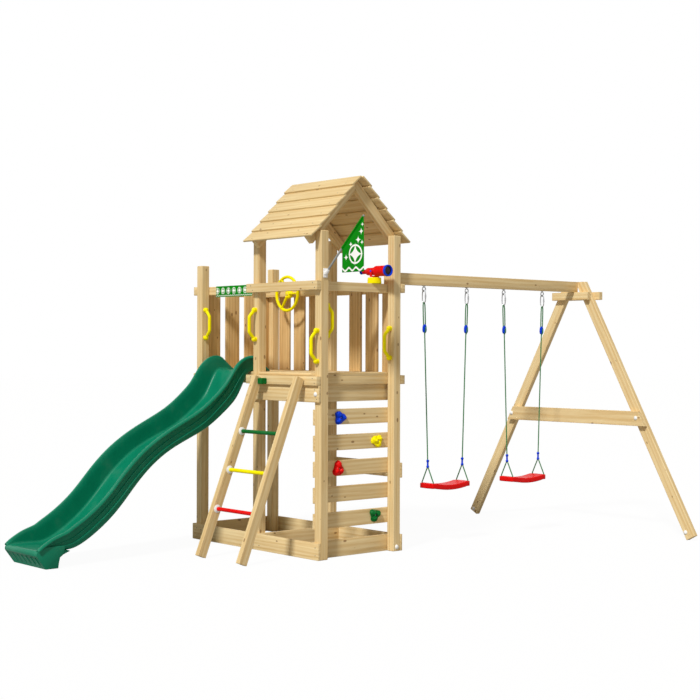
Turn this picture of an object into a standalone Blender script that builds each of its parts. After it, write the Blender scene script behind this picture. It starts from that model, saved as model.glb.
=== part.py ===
"""Wooden play tower with a roof, a wave slide, a ladder, a climbing wall and two swings.

Metres, +Z up.  While it is modelled, the ground corner of the front right post is
at (0, 0, 0): +X is right, along the front, and +Y is back, towards the swings.
The last step moves the whole object so that its box stands centred on the origin.
"""
import math

import bmesh
import bpy
from mathutils import Matrix, Vector

# Clearance between pieces that touch, and the running clearance of moving pieces
GAP = 0.0003
RUN = 0.0006

# Timber sections
POST = 0.075
RAIL_T = 0.045
RAIL_H = 0.070
BOARD_T = 0.022
EDGE = 0.003

# Tower
BAY_W = 0.845
SLIDE_BAY_W = 0.780
TOWER_D = 0.822
POST_H = 2.490
LOW_POST_STEP = 0.204
LOW_POST_H = POST_H - LOW_POST_STEP
TOP_RAIL_DROP = 0.380
TOP_RAIL_Z = POST_H - TOP_RAIL_DROP
DECK_Z = 1.412
DECK_T = 0.024
BEARER_H = 0.128
SAND_H = 0.130
BRACE_Z = 0.577
BRACE_H = 0.118
FRONT_RAIL_OVERHANG = 0.035

# Deck boards and fence slats
DECK_BOARDS = 7
DECK_GAP = 0.006
SLAT_W = 0.139
SLAT_PITCH = 0.2035
SLAT_FOOT = 0.055
SLAT_HEAD = 0.008
SLAT_MIN = 0.040
SLAT_END_GAP = 0.035

# Climbing wall
CLIMB_TOP = 1.134
CLIMB_H = 0.120
CLIMB_PITCH = 0.1975
CLIMB_BOARDS = 5
HOLD_T = 0.048
HOLD_W = 0.066
HOLD_R = 0.058
HOLD_IN = (0.174, 0.113, 0.160, 0.135)

# Roof
RIDGE_RISE = 0.457
RIDGE_Z = POST_H + RIDGE_RISE
ROOF_BOARD_T = 0.018
ROOF_LAP = 0.014
ROOF_SLOPE_LEN = 0.700
ROOF_BOARDS = 6
RAFTER_H = 0.070
RAFTER_TAIL = 0.018

# Ladder
LADDER_X = -0.1434
LADDER_W = 0.5166
LADDER_FOOT_Y = -0.585
LADDER_TOP_Z = 1.364
LADDER_RAIL_H = 0.075
RUNG_D = 0.030
RUNG_Z = 0.370
RUNG_PITCH = 0.293

# Slide: outer width, thickness, and the stations of its underside.  A station is
# (distance forward of the deck's rail, share of the deck's height, wall height).
SLIDE_IN = 0.437
SLIDE_X = SLIDE_IN - BAY_W - SLIDE_BAY_W
SLIDE_W = 0.499
SLIDE_T = 0.006
SLIDE_LIP = 0.014
SLIDE_CORNER = 0.030
SLIDE_STEPS = 2
SLIDE_STATIONS = (
    (-0.160, 1.000, 0.006), (-0.120, 1.000, 0.035), (-0.080, 1.000, 0.069), (-0.035, 1.000, 0.105),
    (0.000, 1.000, 0.126), (0.035, 0.980, 0.148), (0.075, 0.929, 0.160), (0.120, 0.869, 0.171),
    (0.175, 0.818, 0.175), (0.310, 0.742, 0.168), (0.440, 0.678, 0.167), (0.620, 0.624, 0.155),
    (0.810, 0.560, 0.150), (0.967, 0.476, 0.157), (1.090, 0.388, 0.161), (1.210, 0.289, 0.163),
    (1.330, 0.210, 0.163), (1.475, 0.137, 0.162), (1.620, 0.085, 0.156), (1.735, 0.090, 0.118),
    (1.825, 0.088, 0.080), (1.908, 0.094, 0.032))
FOOT_BACK = 1.625
FOOT_BACK_BASE = 1.757
FOOT_FRONT_BASE = 1.857
FOOT_FRONT = 1.933
FOOT_H = 0.1365

# Grab handles
HANDLE_SPAN = 0.232
HANDLE_REACH = 0.080
HANDLE_D = 0.027
HANDLE_BEND = 0.052
HANDLE_KNOB_D = 0.041
HANDLE_KNOB_H = 0.0395
HANDLE_FOOT_D = 0.037
HANDLE_FOOT_T = 0.003

# Steering wheel
WHEEL_IN = 0.375
WHEEL_X = WHEEL_IN - BAY_W - SLIDE_BAY_W
WHEEL_DROP = 0.047
WHEEL_Z = TOP_RAIL_Z - WHEEL_DROP
WHEEL_R = 0.143
WHEEL_TUBE = 0.026
WHEEL_HUB_D = 0.082
WHEEL_HUB_T = 0.030
WHEEL_SPOKE_W = 0.030
WHEEL_SPOKE_T = 0.013
WHEEL_OFFSET = 0.033
AXLE_D = 0.012
AXLE_HEAD_D = 0.026
AXLE_HEAD_T = 0.006

# Telescope
SCOPE_TO_BEAM = 0.120
SCOPE_Y = TOWER_D - POST - SCOPE_TO_BEAM
SCOPE_BASE_D = 0.1125
SCOPE_BASE_T = 0.047
SCOPE_AXIS_H = 0.096
SCOPE_FORK_IN = 0.0325
SCOPE_FORK_T = 0.009
SCOPE_FORK_W = 0.020
SCOPE_PIN_D = 0.012
SCOPE_BACK = 0.158
SCOPE_STEPS = ((0.030, 0.020), (0.053, 0.018), (0.097, 0.0295), (0.124, 0.0415), (0.020, 0.0455))
SCOPE_BOWL_DEPTH = 0.012
SCOPE_RIM = 0.011

# Flag
FLAG_Y = 0.037
FLAG_BRACKET = (0.030, 0.040, 0.070)
FLAG_DROP = 0.358
FLAG_BRACKET_Z = POST_H - FLAG_DROP
POLE_D = 0.016
POLE_FOOT = (0.014, FLAG_BRACKET_Z + 0.038)
POLE_RUN = 0.424
POLE_RISE = 0.402
POLE_TIP = (POLE_FOOT[0] + POLE_RUN, POLE_FOOT[1] + POLE_RISE)
FLAG_X0 = 0.196
FLAG_X1 = 0.436
FLAG_BOTTOM = FLAG_BRACKET_Z + 0.030
FLAG_T = 0.003

# Swing unit
BEAM_H = 0.094
BEAM_REACH = 2.258
BEAM_END_Y = TOWER_D + BEAM_REACH
LEG_W = 0.092
LEG_SPREAD = 1.1958
LEG_MEET = -0.0069
LEFT_LEG_OUT = 0.033
LEG_SLOPE = (LEG_SPREAD - LEG_MEET) / (TOP_RAIL_Z + GAP + BEAM_H)
HEAD_LEN = 0.413
HEAD_SHIFT = -0.038
HEAD_BACK_SHIFT = 0.024
CROSSBAR_Z = 0.937
CROSSBAR_H = 0.125
SWING_AWAY = (0.5975, 1.549)
SWING_Y = [TOWER_D + away for away in SWING_AWAY]
SWING_HOOKS = 0.4975
SWING_SPREAD = 0.401
EYE_R = 0.018
EYE_D = 0.009
EYE_DROP = 0.006
RING_W = 0.046
RING_H = 0.110
RING_D = 0.009
ROPE_D = 0.011
LOOP_W = 0.022
ADJUSTER = (0.020, 0.040, 0.071)
ADJUSTER_DROP = 0.301
BEAD_D = 0.025
BEAD_H = 0.072
BEAD_NECK_D = 0.016
BEAD_Z = 0.660
SEAT_Z = 0.503
SEAT_W = 0.165
SEAT_L = 0.445
SEAT_T = 0.042
SEAT_SAG = 0.018
SEAT_ROPE_X = 0.065
SEAT_FLAT = 0.80

# Places that follow from the sizes
X_C = -BAY_W
X_D = -BAY_W - SLIDE_BAY_W
Y_BACK = TOWER_D
Y_IN = TOWER_D - POST
RAIL_LOW = DECK_Z - DECK_T
BEARER_TOP = RAIL_LOW - RAIL_H - GAP
INNER_X = -POST - GAP
Y_SLIDE = POST + GAP
BEAM_X = INNER_X - RAIL_T / 2
BEAM_Z = TOP_RAIL_Z + GAP
MID_Y = TOWER_D / 2

for old in list(bpy.data.objects):
    bpy.data.objects.remove(old, do_unlink=True)

PARTS = bpy.data.collections.new("play_tower")
CUTTERS = bpy.data.collections.new("cutters")
bpy.context.scene.collection.children.link(PARTS)
bpy.context.scene.collection.children.link(CUTTERS)


def material(name, colour, rough, metal=0.0):
    mat = bpy.data.materials.new(name)
    mat.use_nodes = True
    shader = mat.node_tree.nodes["Principled BSDF"]
    shader.inputs["Base Color"].default_value = (*colour, 1.0)
    shader.inputs["Roughness"].default_value = rough
    shader.inputs["Metallic"].default_value = metal
    mat.diffuse_color = (*colour, 1.0)
    return mat


WOOD = material("pine", (0.74, 0.53, 0.28), 0.7)
ROOF_WOOD = material("roof pine", (0.88, 0.70, 0.42), 0.7)
GREEN = material("slide green", (0.02, 0.18, 0.09), 0.3)
HOLD_GREEN = material("hold green", (0.01, 0.15, 0.03), 0.4)
YELLOW = material("yellow plastic", (0.95, 0.83, 0.0), 0.35)
RED = material("red plastic", (0.80, 0.01, 0.01), 0.35)
BLUE = material("blue plastic", (0.01, 0.04, 0.60), 0.35)
ROPE = material("green rope", (0.03, 0.22, 0.07), 0.8)
GREY = material("grey pole", (0.45, 0.46, 0.46), 0.4)
CLOTH = material("flag green", (0.0, 0.32, 0.01), 0.7)


def add(name, mesh, mat, where=(0, 0, 0), cutter=False):
    ob = bpy.data.objects.new(name, mesh)
    ob.location = where
    if mat:
        mesh.materials.clear()
        mesh.materials.append(mat)
    (CUTTERS if cutter else PARTS).objects.link(ob)
    if cutter:
        ob.hide_render = True
        ob.display_type = "WIRE"
    return ob


def round_edges(ob, width=EDGE, segments=1):
    mod = ob.modifiers.new("edges", "BEVEL")
    mod.width = width
    mod.segments = segments
    mod.limit_method = "ANGLE"
    mod.angle_limit = math.radians(35)
    mod.use_clamp_overlap = True
    return ob


def box(name, x, y, z, mat=WOOD, edge=EDGE, turn=None, cutter=False):
    """A board from its ranges in x, y and z, turned about its centre if asked."""
    size = [hi - lo for lo, hi in (x, y, z)]
    bm = bmesh.new()
    bmesh.ops.create_cube(bm, size=1.0)
    bmesh.ops.scale(bm, vec=size, verts=bm.verts)
    mesh = bpy.data.meshes.new(name)
    bm.to_mesh(mesh)
    bm.free()
    ob = add(name, mesh, mat, [(lo + hi) / 2 for lo, hi in (x, y, z)], cutter)
    if turn:
        ob.rotation_euler = turn
    if edge:
        round_edges(ob, edge)
    return ob


def rod(name, start, end, radius, mat, sides=16, radius_end=None, cutter=False):
    """A cylinder or cone between two points."""
    a, b = Vector(start), Vector(end)
    bm = bmesh.new()
    bmesh.ops.create_cone(bm, cap_ends=True, segments=sides, radius1=radius,
                          radius2=radius if radius_end is None else radius_end, depth=(b - a).length)
    mesh = bpy.data.meshes.new(name)
    bm.to_mesh(mesh)
    bm.free()
    ob = add(name, mesh, mat, (a + b) / 2, cutter)
    ob.rotation_euler = (b - a).to_track_quat("Z", "Y").to_euler()
    return ob


def ring(name, centre, radius, tube, axis, mat, around=24, sides=8):
    """A torus with its axis along the named direction."""
    bpy.ops.mesh.primitive_torus_add(major_radius=radius, minor_radius=tube, major_segments=around,
                                     minor_segments=sides, location=centre)
    ob = bpy.context.active_object
    ob.rotation_euler = {"X": (0, math.pi / 2, 0), "Y": (math.pi / 2, 0, 0), "Z": (0, 0, 0)}[axis]
    for home in list(ob.users_collection):
        home.objects.unlink(ob)
    PARTS.objects.link(ob)
    ob.name = name
    ob.data.materials.append(mat)
    return ob


def solid(ob):
    """The evaluated object as a plain welded mesh object in the same place."""
    bpy.context.view_layer.update()
    graph = bpy.context.evaluated_depsgraph_get()
    mesh = bpy.data.meshes.new_from_object(ob.evaluated_get(graph), depsgraph=graph)
    bm = bmesh.new()
    bm.from_mesh(mesh)
    bmesh.ops.remove_doubles(bm, verts=bm.verts, dist=0.00001)
    bmesh.ops.recalc_face_normals(bm, faces=bm.faces)
    bm.to_mesh(mesh)
    bm.free()
    name, mats = ob.name, list(ob.data.materials)
    new = bpy.data.objects.new(name, mesh)
    new.matrix_world = ob.matrix_world.copy()
    PARTS.objects.link(new)
    bpy.data.objects.remove(ob, do_unlink=True)
    new.name = name
    if not mesh.materials and mats:
        mesh.materials.append(mats[0])
    return new


def tube(name, points, radius, mat, res=2, cyclic=False):
    """A round bar or rope along the points."""
    data = bpy.data.curves.new(name, "CURVE")
    data.dimensions = "3D"
    data.resolution_u = 1
    data.render_resolution_u = 0
    data.bevel_depth = radius
    data.bevel_resolution = res
    data.use_fill_caps = not cyclic
    line = data.splines.new("POLY")
    line.points.add(len(points) - 1)
    for point, place in zip(line.points, points):
        point.co = (*place, 1.0)
    line.use_cyclic_u = cyclic
    ob = bpy.data.objects.new(name, data)
    PARTS.objects.link(ob)
    data.materials.append(mat)
    return solid(ob)


def slab(name, outline, half, frame, mat, edge=0.0):
    """A flat outline, extruded by half its thickness each way and set in a frame."""
    data = bpy.data.curves.new(name, "CURVE")
    data.dimensions = "2D"
    data.fill_mode = "BOTH"
    data.extrude = half
    line = data.splines.new("POLY")
    line.points.add(len(outline) - 1)
    for point, (u, v) in zip(line.points, outline):
        point.co = (u, v, 0.0, 1.0)
    line.use_cyclic_u = True
    ob = bpy.data.objects.new(name, data)
    ob.matrix_world = frame
    PARTS.objects.link(ob)
    data.materials.append(mat)
    ob = solid(ob)
    if edge:
        round_edges(ob, edge)
    return ob


def frame_yz(x):
    """Outline u runs along +Y and v along +Z, with the slab's middle at x."""
    return Matrix(((0, 0, 1, x), (1, 0, 0, 0), (0, 1, 0, 0), (0, 0, 0, 1)))


def frame_xz(y):
    """Outline u runs along +X and v along +Z, with the slab's middle at y."""
    return Matrix(((1, 0, 0, 0), (0, 0, -1, y), (0, 1, 0, 0), (0, 0, 0, 1)))


def combine(name, pieces, cutters=()):
    """Join pieces that overlap into one body, then cut it."""
    base = pieces[0]
    for kind, group in (("UNION", pieces[1:]), ("DIFFERENCE", cutters)):
        for other in group:
            mod = base.modifiers.new("join", "BOOLEAN")
            mod.operation = kind
            mod.solver = "EXACT"
            mod.object = other
    base = solid(base)
    for other in list(pieces[1:]) + list(cutters):
        bpy.data.objects.remove(other, do_unlink=True)
    base.name = name
    return base


def turned(name, profile, mat, frame, steps=24):
    """A solid of revolution: (radius, height) pairs from top to bottom."""
    mesh = bpy.data.meshes.new(name)
    mesh.from_pydata([(r, 0, h) for r, h in profile], [(i, i + 1) for i in range(len(profile) - 1)], [])
    ob = add(name, mesh, mat)
    mod = ob.modifiers.new("turn", "SCREW")
    mod.steps = mod.render_steps = steps
    mod.use_merge_vertices = True
    mod.merge_threshold = 0.00005
    ob.matrix_world = frame
    return solid(ob)


# Posts: two pairs carry the roof, the pair at the slide end is lower
for name, x, y, top in (("post_front_right", -POST, 0, POST_H), ("post_back_right", -POST, Y_IN, POST_H),
                        ("post_front_middle", X_C, 0, POST_H), ("post_back_middle", X_C, Y_IN, POST_H),
                        ("post_front_left", X_D, 0, LOW_POST_H), ("post_back_left", X_D, Y_IN, LOW_POST_H)):
    box(name, (x, x + POST), (y, y + POST), (0, top), edge=0.005)


def rail_z(top):
    return (top - RAIL_H, top)


# Rails and bearer boards.  The front and the slide's rails run in X, the climbing side's in Y.
FRONT = (-RAIL_T - GAP, -GAP)
box("front_top_rail", (X_C - FRONT_RAIL_OVERHANG, 0), FRONT, rail_z(TOP_RAIL_Z))
CLIMB_X = (INNER_X - RAIL_T, INNER_X)
box("climb_top_rail", CLIMB_X, (0, TOWER_D), rail_z(TOP_RAIL_Z))


def beam_with_bearer(name, rail, bearer):
    """A platform rail and the thin bearer board under it, screwed into one beam."""
    return combine(name, [rail, bearer])


low_rail = (RAIL_LOW - RAIL_H, RAIL_LOW - GAP)
low_board = (RAIL_LOW - RAIL_H - BEARER_H, RAIL_LOW - RAIL_H + 0.002)
beam_with_bearer(
    "front_platform_beam",
    box("rail", (X_C - FRONT_RAIL_OVERHANG, 0), FRONT, low_rail),
    box("bearer", (X_C, 0), (-BOARD_T - GAP, -GAP), low_board, edge=0))
beam_with_bearer(
    "climb_platform_beam",
    box("rail", CLIMB_X, (0, TOWER_D), low_rail),
    box("bearer", (INNER_X - BOARD_T, INNER_X), (0, TOWER_D), low_board, edge=0))
INNER_RAIL_Y = (Y_SLIDE, Y_SLIDE + RAIL_T)
BOTH_POSTS = (X_D + BOARD_T + GAP, X_C + POST)
box("slide_top_rail", BOTH_POSTS, INNER_RAIL_Y, rail_z(TOP_RAIL_Z))
box("slide_platform_rail", BOTH_POSTS, INNER_RAIL_Y, low_rail)

# Fences: two rails outside the posts, with upright slats on their inner faces
slat_z = (RAIL_LOW - SLAT_FOOT, TOP_RAIL_Z - SLAT_HEAD)
OUT_Y = (Y_BACK + GAP, Y_BACK + GAP + RAIL_T)
OUT_X = (X_D - GAP - RAIL_T, X_D - GAP)
SLAT_Y = (Y_BACK - BOARD_T, Y_BACK + GAP + 0.002)
SLAT_X = (X_D - GAP - 0.002, X_D + BOARD_T)


def slats(start, pitch, make, limit):
    """Slats from a start to a limit; the last one is sawn narrower to fit."""
    made = []
    while limit - start > SLAT_MIN:
        made.append(make((start, min(start + SLAT_W, limit - 0.001))))
        start += pitch
    return made


back = [box("r", (OUT_X[0], 0), OUT_Y, rail_z(TOP_RAIL_Z)), box("r", (OUT_X[0], 0), OUT_Y, low_rail)]
back += slats(X_D + POST + 0.024, SLAT_PITCH, lambda x: box("s", x, SLAT_Y, slat_z, edge=0),
              X_C - SLAT_END_GAP)
back += slats(X_C + POST + 0.172, SLAT_PITCH - 0.003, lambda x: box("s", x, SLAT_Y, slat_z, edge=0),
              CLIMB_X[0])
combine("back_fence", [back[2]] + back[:2] + back[3:])
left = [box("r", OUT_X, (0, TOWER_D), rail_z(TOP_RAIL_Z)), box("r", OUT_X, (0, TOWER_D), low_rail)]
left += slats(POST + 0.015, SLAT_PITCH - 0.003, lambda y: box("s", SLAT_X, y, slat_z, edge=0), Y_IN)
combine("left_fence", [left[2]] + left[:2] + left[3:])
box("back_brace_board", (X_C, 0), (Y_BACK + GAP, Y_BACK + GAP + BOARD_T), (BRACE_Z, BRACE_Z + BRACE_H))

# Deck: boards along X on joists along Y, notched round the posts that stand in it
deck_z = (RAIL_LOW, DECK_Z)
deck_x = (X_D + BOARD_T + 0.001, INNER_X)
deck_end = Y_BACK - BOARD_T - 0.001
first = Y_SLIDE + GAP
pitch = (deck_end - first + DECK_GAP) / DECK_BOARDS
boards = [box("b", (X_C + POST + 2 * GAP, deck_x[1]), (GAP, first - DECK_GAP), deck_z, edge=0)]
for i in range(DECK_BOARDS):
    y0 = first + i * pitch
    boards.append(box("b", deck_x, (y0, y0 + pitch - DECK_GAP), deck_z, edge=0))
joist_z = (RAIL_LOW - RAIL_H, RAIL_LOW + 0.001)
for share in (0.27, 0.67):
    x = X_C + POST + share * (BAY_W - 2 * POST)
    boards.append(box("j", (x, x + RAIL_T), (GAP, deck_end - 0.002), joist_z, edge=0))
    x = X_D + POST + share * (SLIDE_BAY_W - POST)
    boards.append(box("j", (x, x + RAIL_T), (INNER_RAIL_Y[1] + GAP, deck_end - 0.002), joist_z, edge=0))
notches = [box("n", (x - GAP, x + POST + GAP), (y - GAP, y + POST + GAP), (RAIL_LOW - 0.2, DECK_Z + 0.2),
               None, 0, cutter=True)
           for x, y in ((X_C, Y_IN), (X_D, Y_IN))]
combine("deck", [boards[1]] + [boards[0]] + boards[2:], notches)

# Climbing wall boards, on the inner faces of the right-hand posts, with four holds
climb_x = (INNER_X - BOARD_T, INNER_X)
for i in range(CLIMB_BOARDS):
    top = CLIMB_TOP - i * CLIMB_PITCH
    box("climbing_board_%d" % (i + 1), climb_x, (0, TOWER_D), (top - CLIMB_H, top))


def hold(name, y, z, wide, tall, mat):
    """A rounded rock with a flat back, from a coarse cage."""
    bm = bmesh.new()
    bmesh.ops.create_cube(bm, size=1.0)
    bmesh.ops.subdivide_edges(bm, edges=bm.edges, cuts=1, use_grid_fill=True)
    for v in bm.verts:
        u = Vector((v.co.y * 2, v.co.z * 2))
        if u.length > 1.0:
            u = u / u.length
        depth = v.co.x + 0.5
        grow = 1.0 - 0.38 * depth + 0.06 * math.sin(3 * math.atan2(u.y, u.x) + wide * 90)
        v.co = Vector((depth * HOLD_T * (1.0 - 0.22 * u.length), u.x * wide * grow, u.y * tall * grow))
    mesh = bpy.data.meshes.new(name)
    bm.to_mesh(mesh)
    bm.free()
    ob = add(name, mesh, mat, (INNER_X + GAP, y, z))
    round_edges(ob, 0.008, 2)
    return ob


hold("hold_blue", POST + HOLD_IN[0], CLIMB_TOP - 0.064, HOLD_W, HOLD_R, BLUE)
hold("hold_yellow", Y_IN - HOLD_IN[1], CLIMB_TOP - CLIMB_PITCH - 0.060, HOLD_W, HOLD_R, YELLOW)
hold("hold_red", POST + HOLD_IN[2], CLIMB_TOP - 2 * CLIMB_PITCH - 0.062, HOLD_W * 0.88, HOLD_R * 1.20, RED)
hold("hold_green", Y_IN - HOLD_IN[3], CLIMB_TOP - 4 * CLIMB_PITCH - 0.048, HOLD_W, HOLD_R, HOLD_GREEN)

# Sandbox: thin boards on edge, outside the front and back, across the middle and both ends
sand_z = (0, SAND_H)
sand_y = (-GAP - BOARD_T, Y_BACK + GAP + BOARD_T)
sand_x = X_D - GAP - BOARD_T
sand_cut = (-0.1, SAND_H + 0.1)
bays = ((sand_x + BOARD_T, X_C + POST + GAP), (X_C + POST + GAP + BOARD_T, INNER_X - BOARD_T), (INNER_X, 0.1))
combine("sandbox_frame", [box("s", (sand_x, 0), sand_y, sand_z, edge=0)],
        [box("bay", bay, (-GAP, Y_BACK + GAP), sand_cut, None, 0, cutter=True) for bay in bays])

# Roof: a slope is one lapped sheet, saw-toothed outside and flat on the rafters
RAFTER_APEX = RIDGE_Z - ROOF_BOARD_T * math.sqrt(2)
EXPOSED = ROOF_SLOPE_LEN / ROOF_BOARDS


def slope_outline(side):
    """The section of a slope; s runs down from the ridge, p stands off the rafters."""
    def at(s, p):
        k = math.sqrt(0.5)
        return (MID_Y + side * (s * k + p * k), RAFTER_APEX - s * k + p * k)
    top = RIDGE_Z
    edge = MID_Y + side * GAP / 2
    points = [(edge, top - 0.0002)]
    for i in range(ROOF_BOARDS):
        if i:
            points.append(at(i * EXPOSED, ROOF_BOARD_T))
        points.append(at((i + 1) * EXPOSED, ROOF_BOARD_T + ROOF_LAP))
    points.append(at(ROOF_SLOPE_LEN, GAP))
    points.append((edge, RAFTER_APEX + GAP * math.sqrt(2)))
    return points if side < 0 else points[::-1]


slab("roof_front_slope", slope_outline(-1), BAY_W / 2, frame_yz(-BAY_W / 2), ROOF_WOOD)
slab("roof_back_slope", slope_outline(1), BAY_W / 2, frame_yz(-BAY_W / 2), ROOF_WOOD)


def gable(name, x):
    """A pair of rafters as one gable, 45 degrees each side, with square-cut tails."""
    k = math.sqrt(0.5)
    length = ROOF_SLOPE_LEN - RAFTER_TAIL
    tail = (length * k, RAFTER_APEX - length * k)
    inner = (tail[0] - RAFTER_H * k, tail[1] - RAFTER_H * k)
    points = [(MID_Y, RAFTER_APEX), (MID_Y - tail[0], tail[1]), (MID_Y - inner[0], inner[1]),
              (MID_Y, RAFTER_APEX - RAFTER_H / k), (MID_Y + inner[0], inner[1]), (MID_Y + tail[0], tail[1])]
    slab(name, points, RAIL_T / 2, frame_yz(x), WOOD, 0.002)


gable("gable_rafters_right", INNER_X - RAIL_T / 2)
gable("gable_rafters_left", X_C + POST + GAP + RAIL_T / 2)

# Ladder: leaning rails with square-cut ends, their backs against the front platform beam
lean_y = FRONT[0] - GAP - LADDER_FOOT_Y
LADDER_LEN = math.hypot(lean_y, LADDER_TOP_Z)
LEAN = math.atan2(lean_y, LADDER_TOP_Z)
settle = EDGE * math.sin(LEAN)
foot = Vector((0, LADDER_FOOT_Y + settle, -settle))
along = Vector((0, math.sin(LEAN), math.cos(LEAN)))
across = Vector((0, -math.cos(LEAN), math.sin(LEAN)))
middle = foot + along * LADDER_LEN / 2 + across * LADDER_RAIL_H / 2
for name, x in (("ladder_rail_right", LADDER_X), ("ladder_rail_left", LADDER_X - LADDER_W)):
    box(name, (x - RAIL_T, x), (middle.y - LADDER_RAIL_H / 2, middle.y + LADDER_RAIL_H / 2),
        (middle.z - LADDER_LEN / 2, middle.z + LADDER_LEN / 2), turn=(-LEAN, 0, 0))
for i, mat in enumerate((RED, YELLOW, HOLD_GREEN)):
    z = RUNG_Z + i * RUNG_PITCH
    reach = (z - across.z * LADDER_RAIL_H / 2) / along.z
    spot = foot + along * reach + across * LADDER_RAIL_H / 2
    rod("ladder_rung_%d" % (i + 1), (LADDER_X - LADDER_W + GAP, spot.y, spot.z),
        (LADDER_X - RAIL_T - GAP, spot.y, spot.z), RUNG_D / 2, mat, 20)


def smooth(stations, steps):
    """Points of a smooth curve through the stations."""
    out = []
    for i in range(len(stations) - 1):
        p0 = Vector(stations[max(i - 1, 0)])
        p1, p2 = Vector(stations[i]), Vector(stations[i + 1])
        p3 = Vector(stations[min(i + 2, len(stations) - 1)])
        for j in range(steps):
            t = j / steps
            out.append(0.5 * (2 * p1 + (p2 - p0) * t + (2 * p0 - 5 * p1 + 4 * p2 - p3) * t * t
                              + (3 * p1 - p0 - 3 * p2 + p3) * t ** 3))
    out.append(Vector(stations[-1]))
    return out


def slide():
    """A channel with a waved bed, walls and turned-out lips, and a block foot."""
    line = smooth([(POST - run, share * (DECK_Z + 2 * GAP), wall) for run, share, wall in SLIDE_STATIONS],
                  SLIDE_STEPS)
    half = SLIDE_W / 2

    def section(wall):
        inner = half - SLIDE_LIP
        low = min(SLIDE_CORNER, wall * 0.45)
        side = [(half, max(wall - 0.014, 0.004)), (half, wall), (inner, wall), (inner - 0.006, low),
                (inner - 0.006 - low * 0.3, low * 0.3), (inner - 0.006 - low, 0.0)]
        return side + [(0.0, 0.0)] + [(-x, h) for x, h in reversed(side)]

    rows, cols = len(line), len(section(0.1))
    bm = bmesh.new()
    bmesh.ops.create_grid(bm, x_segments=cols - 1, y_segments=rows - 1, size=0.5)
    for v in bm.verts:
        i = round((v.co.x + 0.5) * (cols - 1))
        j = round((v.co.y + 0.5) * (rows - 1))
        ahead, behind = line[min(j + 1, rows - 1)], line[max(j - 1, 0)]
        run = Vector((ahead.x - behind.x, ahead.y - behind.y)).normalized()
        up = Vector((run.y, -run.x))
        x, h = section(line[j].z)[i]
        v.co = Vector((SLIDE_X + x, line[j].x + up.x * h, line[j].y + up.y * h))
    mesh = bpy.data.meshes.new("channel")
    bm.to_mesh(mesh)
    bm.free()
    channel = add("channel", mesh, GREEN)
    thick = channel.modifiers.new("sheet", "SOLIDIFY")
    thick.thickness = SLIDE_T
    thick.offset = 1.0
    thick.use_even_offset = True
    channel = solid(channel)
    # The foot runs under the bed's end, rolls over its front and leans back to the ground
    bed = FOOT_H - 0.009
    outline = [(FOOT_BACK, bed - 0.005), (FOOT_BACK + 0.030, bed - 0.011), (FOOT_BACK_BASE - 0.067, bed - 0.0245),
               (FOOT_BACK_BASE - 0.033, bed * 0.70), (FOOT_BACK_BASE - 0.015, bed * 0.61),
               (FOOT_BACK_BASE - 0.007, bed * 0.35), (FOOT_BACK_BASE, 0.0),
               (FOOT_FRONT_BASE, 0.0), (FOOT_FRONT - 0.003, bed - 0.030), (FOOT_FRONT, bed - 0.015),
               (FOOT_FRONT - 0.004, bed), (FOOT_FRONT - 0.015, FOOT_H), (FOOT_FRONT - 0.033, FOOT_H - 0.0015),
               (FOOT_FRONT - 0.108, bed), (FOOT_FRONT - 0.198, bed + 0.0025), (FOOT_BACK + 0.040, bed - 0.006)]
    block = slab("foot", [(POST - run, z) for run, z in outline], half - SLIDE_LIP - 0.001, frame_yz(SLIDE_X), GREEN)
    combine("slide", [block, channel])


slide()


def handle(name, place, out, mat=YELLOW):
    """An upright bow, straight in the middle, on two ball feet; out is the direction off the face."""
    out = Vector(out)
    place = Vector(place) + out * GAP
    reach = HANDLE_REACH - HANDLE_D / 2
    half = HANDLE_SPAN / 2
    knob = HANDLE_KNOB_D / 2
    middle = HANDLE_KNOB_H - knob
    bow = [(middle - 0.003, half - 0.002), (middle + 0.015, half - 0.020), (reach - 0.004, half - HANDLE_BEND),
           (reach, half - HANDLE_BEND - 0.020)]
    bow += [(off, -z) for off, z in reversed(bow)]
    pieces = [tube("bow", [place + out * off + Vector((0, 0, z)) for off, z in bow], HANDLE_D / 2, mat)]
    foot = HANDLE_FOOT_D / 2
    profile = [(knob * math.sin(a), middle + knob * math.cos(a)) for a in (0.0, 0.52, 1.05, 1.57, 2.1)]
    profile += [(foot * 0.9, HANDLE_FOOT_T * 2), (foot, HANDLE_FOOT_T), (foot, 0), (0, 0)]
    for end in (-1, 1):
        at = place + Vector((0, 0, end * half))
        pieces.append(turned("foot", profile, mat,
                             Matrix.Translation(at) @ out.to_track_quat("Z", "Y").to_matrix().to_4x4(), 16))
    combine(name, [pieces[1], pieces[0], pieces[2]])


def up_post(share):
    """Height of a handle's middle, as its share of the way from the deck's rail to the top rail."""
    tall = HANDLE_SPAN + HANDLE_KNOB_D
    return RAIL_LOW + tall / 2 + share * (TOP_RAIL_Z - RAIL_H - RAIL_LOW - tall)


handle("handle_slide_left", (X_D + POST, 0.030, up_post(0.726)), (1, 0, 0))
handle("handle_slide_right", (X_C + POST / 2, 0, up_post(0.690)), (0, -1, 0))
handle("handle_ladder", (-POST / 2, 0, up_post(0.243)), (0, -1, 0))
handle("handle_climb_front", (-POST / 2, POST, up_post(0.753)), (0, 1, 0))
handle("handle_climb_back", (-POST / 2, Y_IN, up_post(0.309)), (0, -1, 0))

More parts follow.
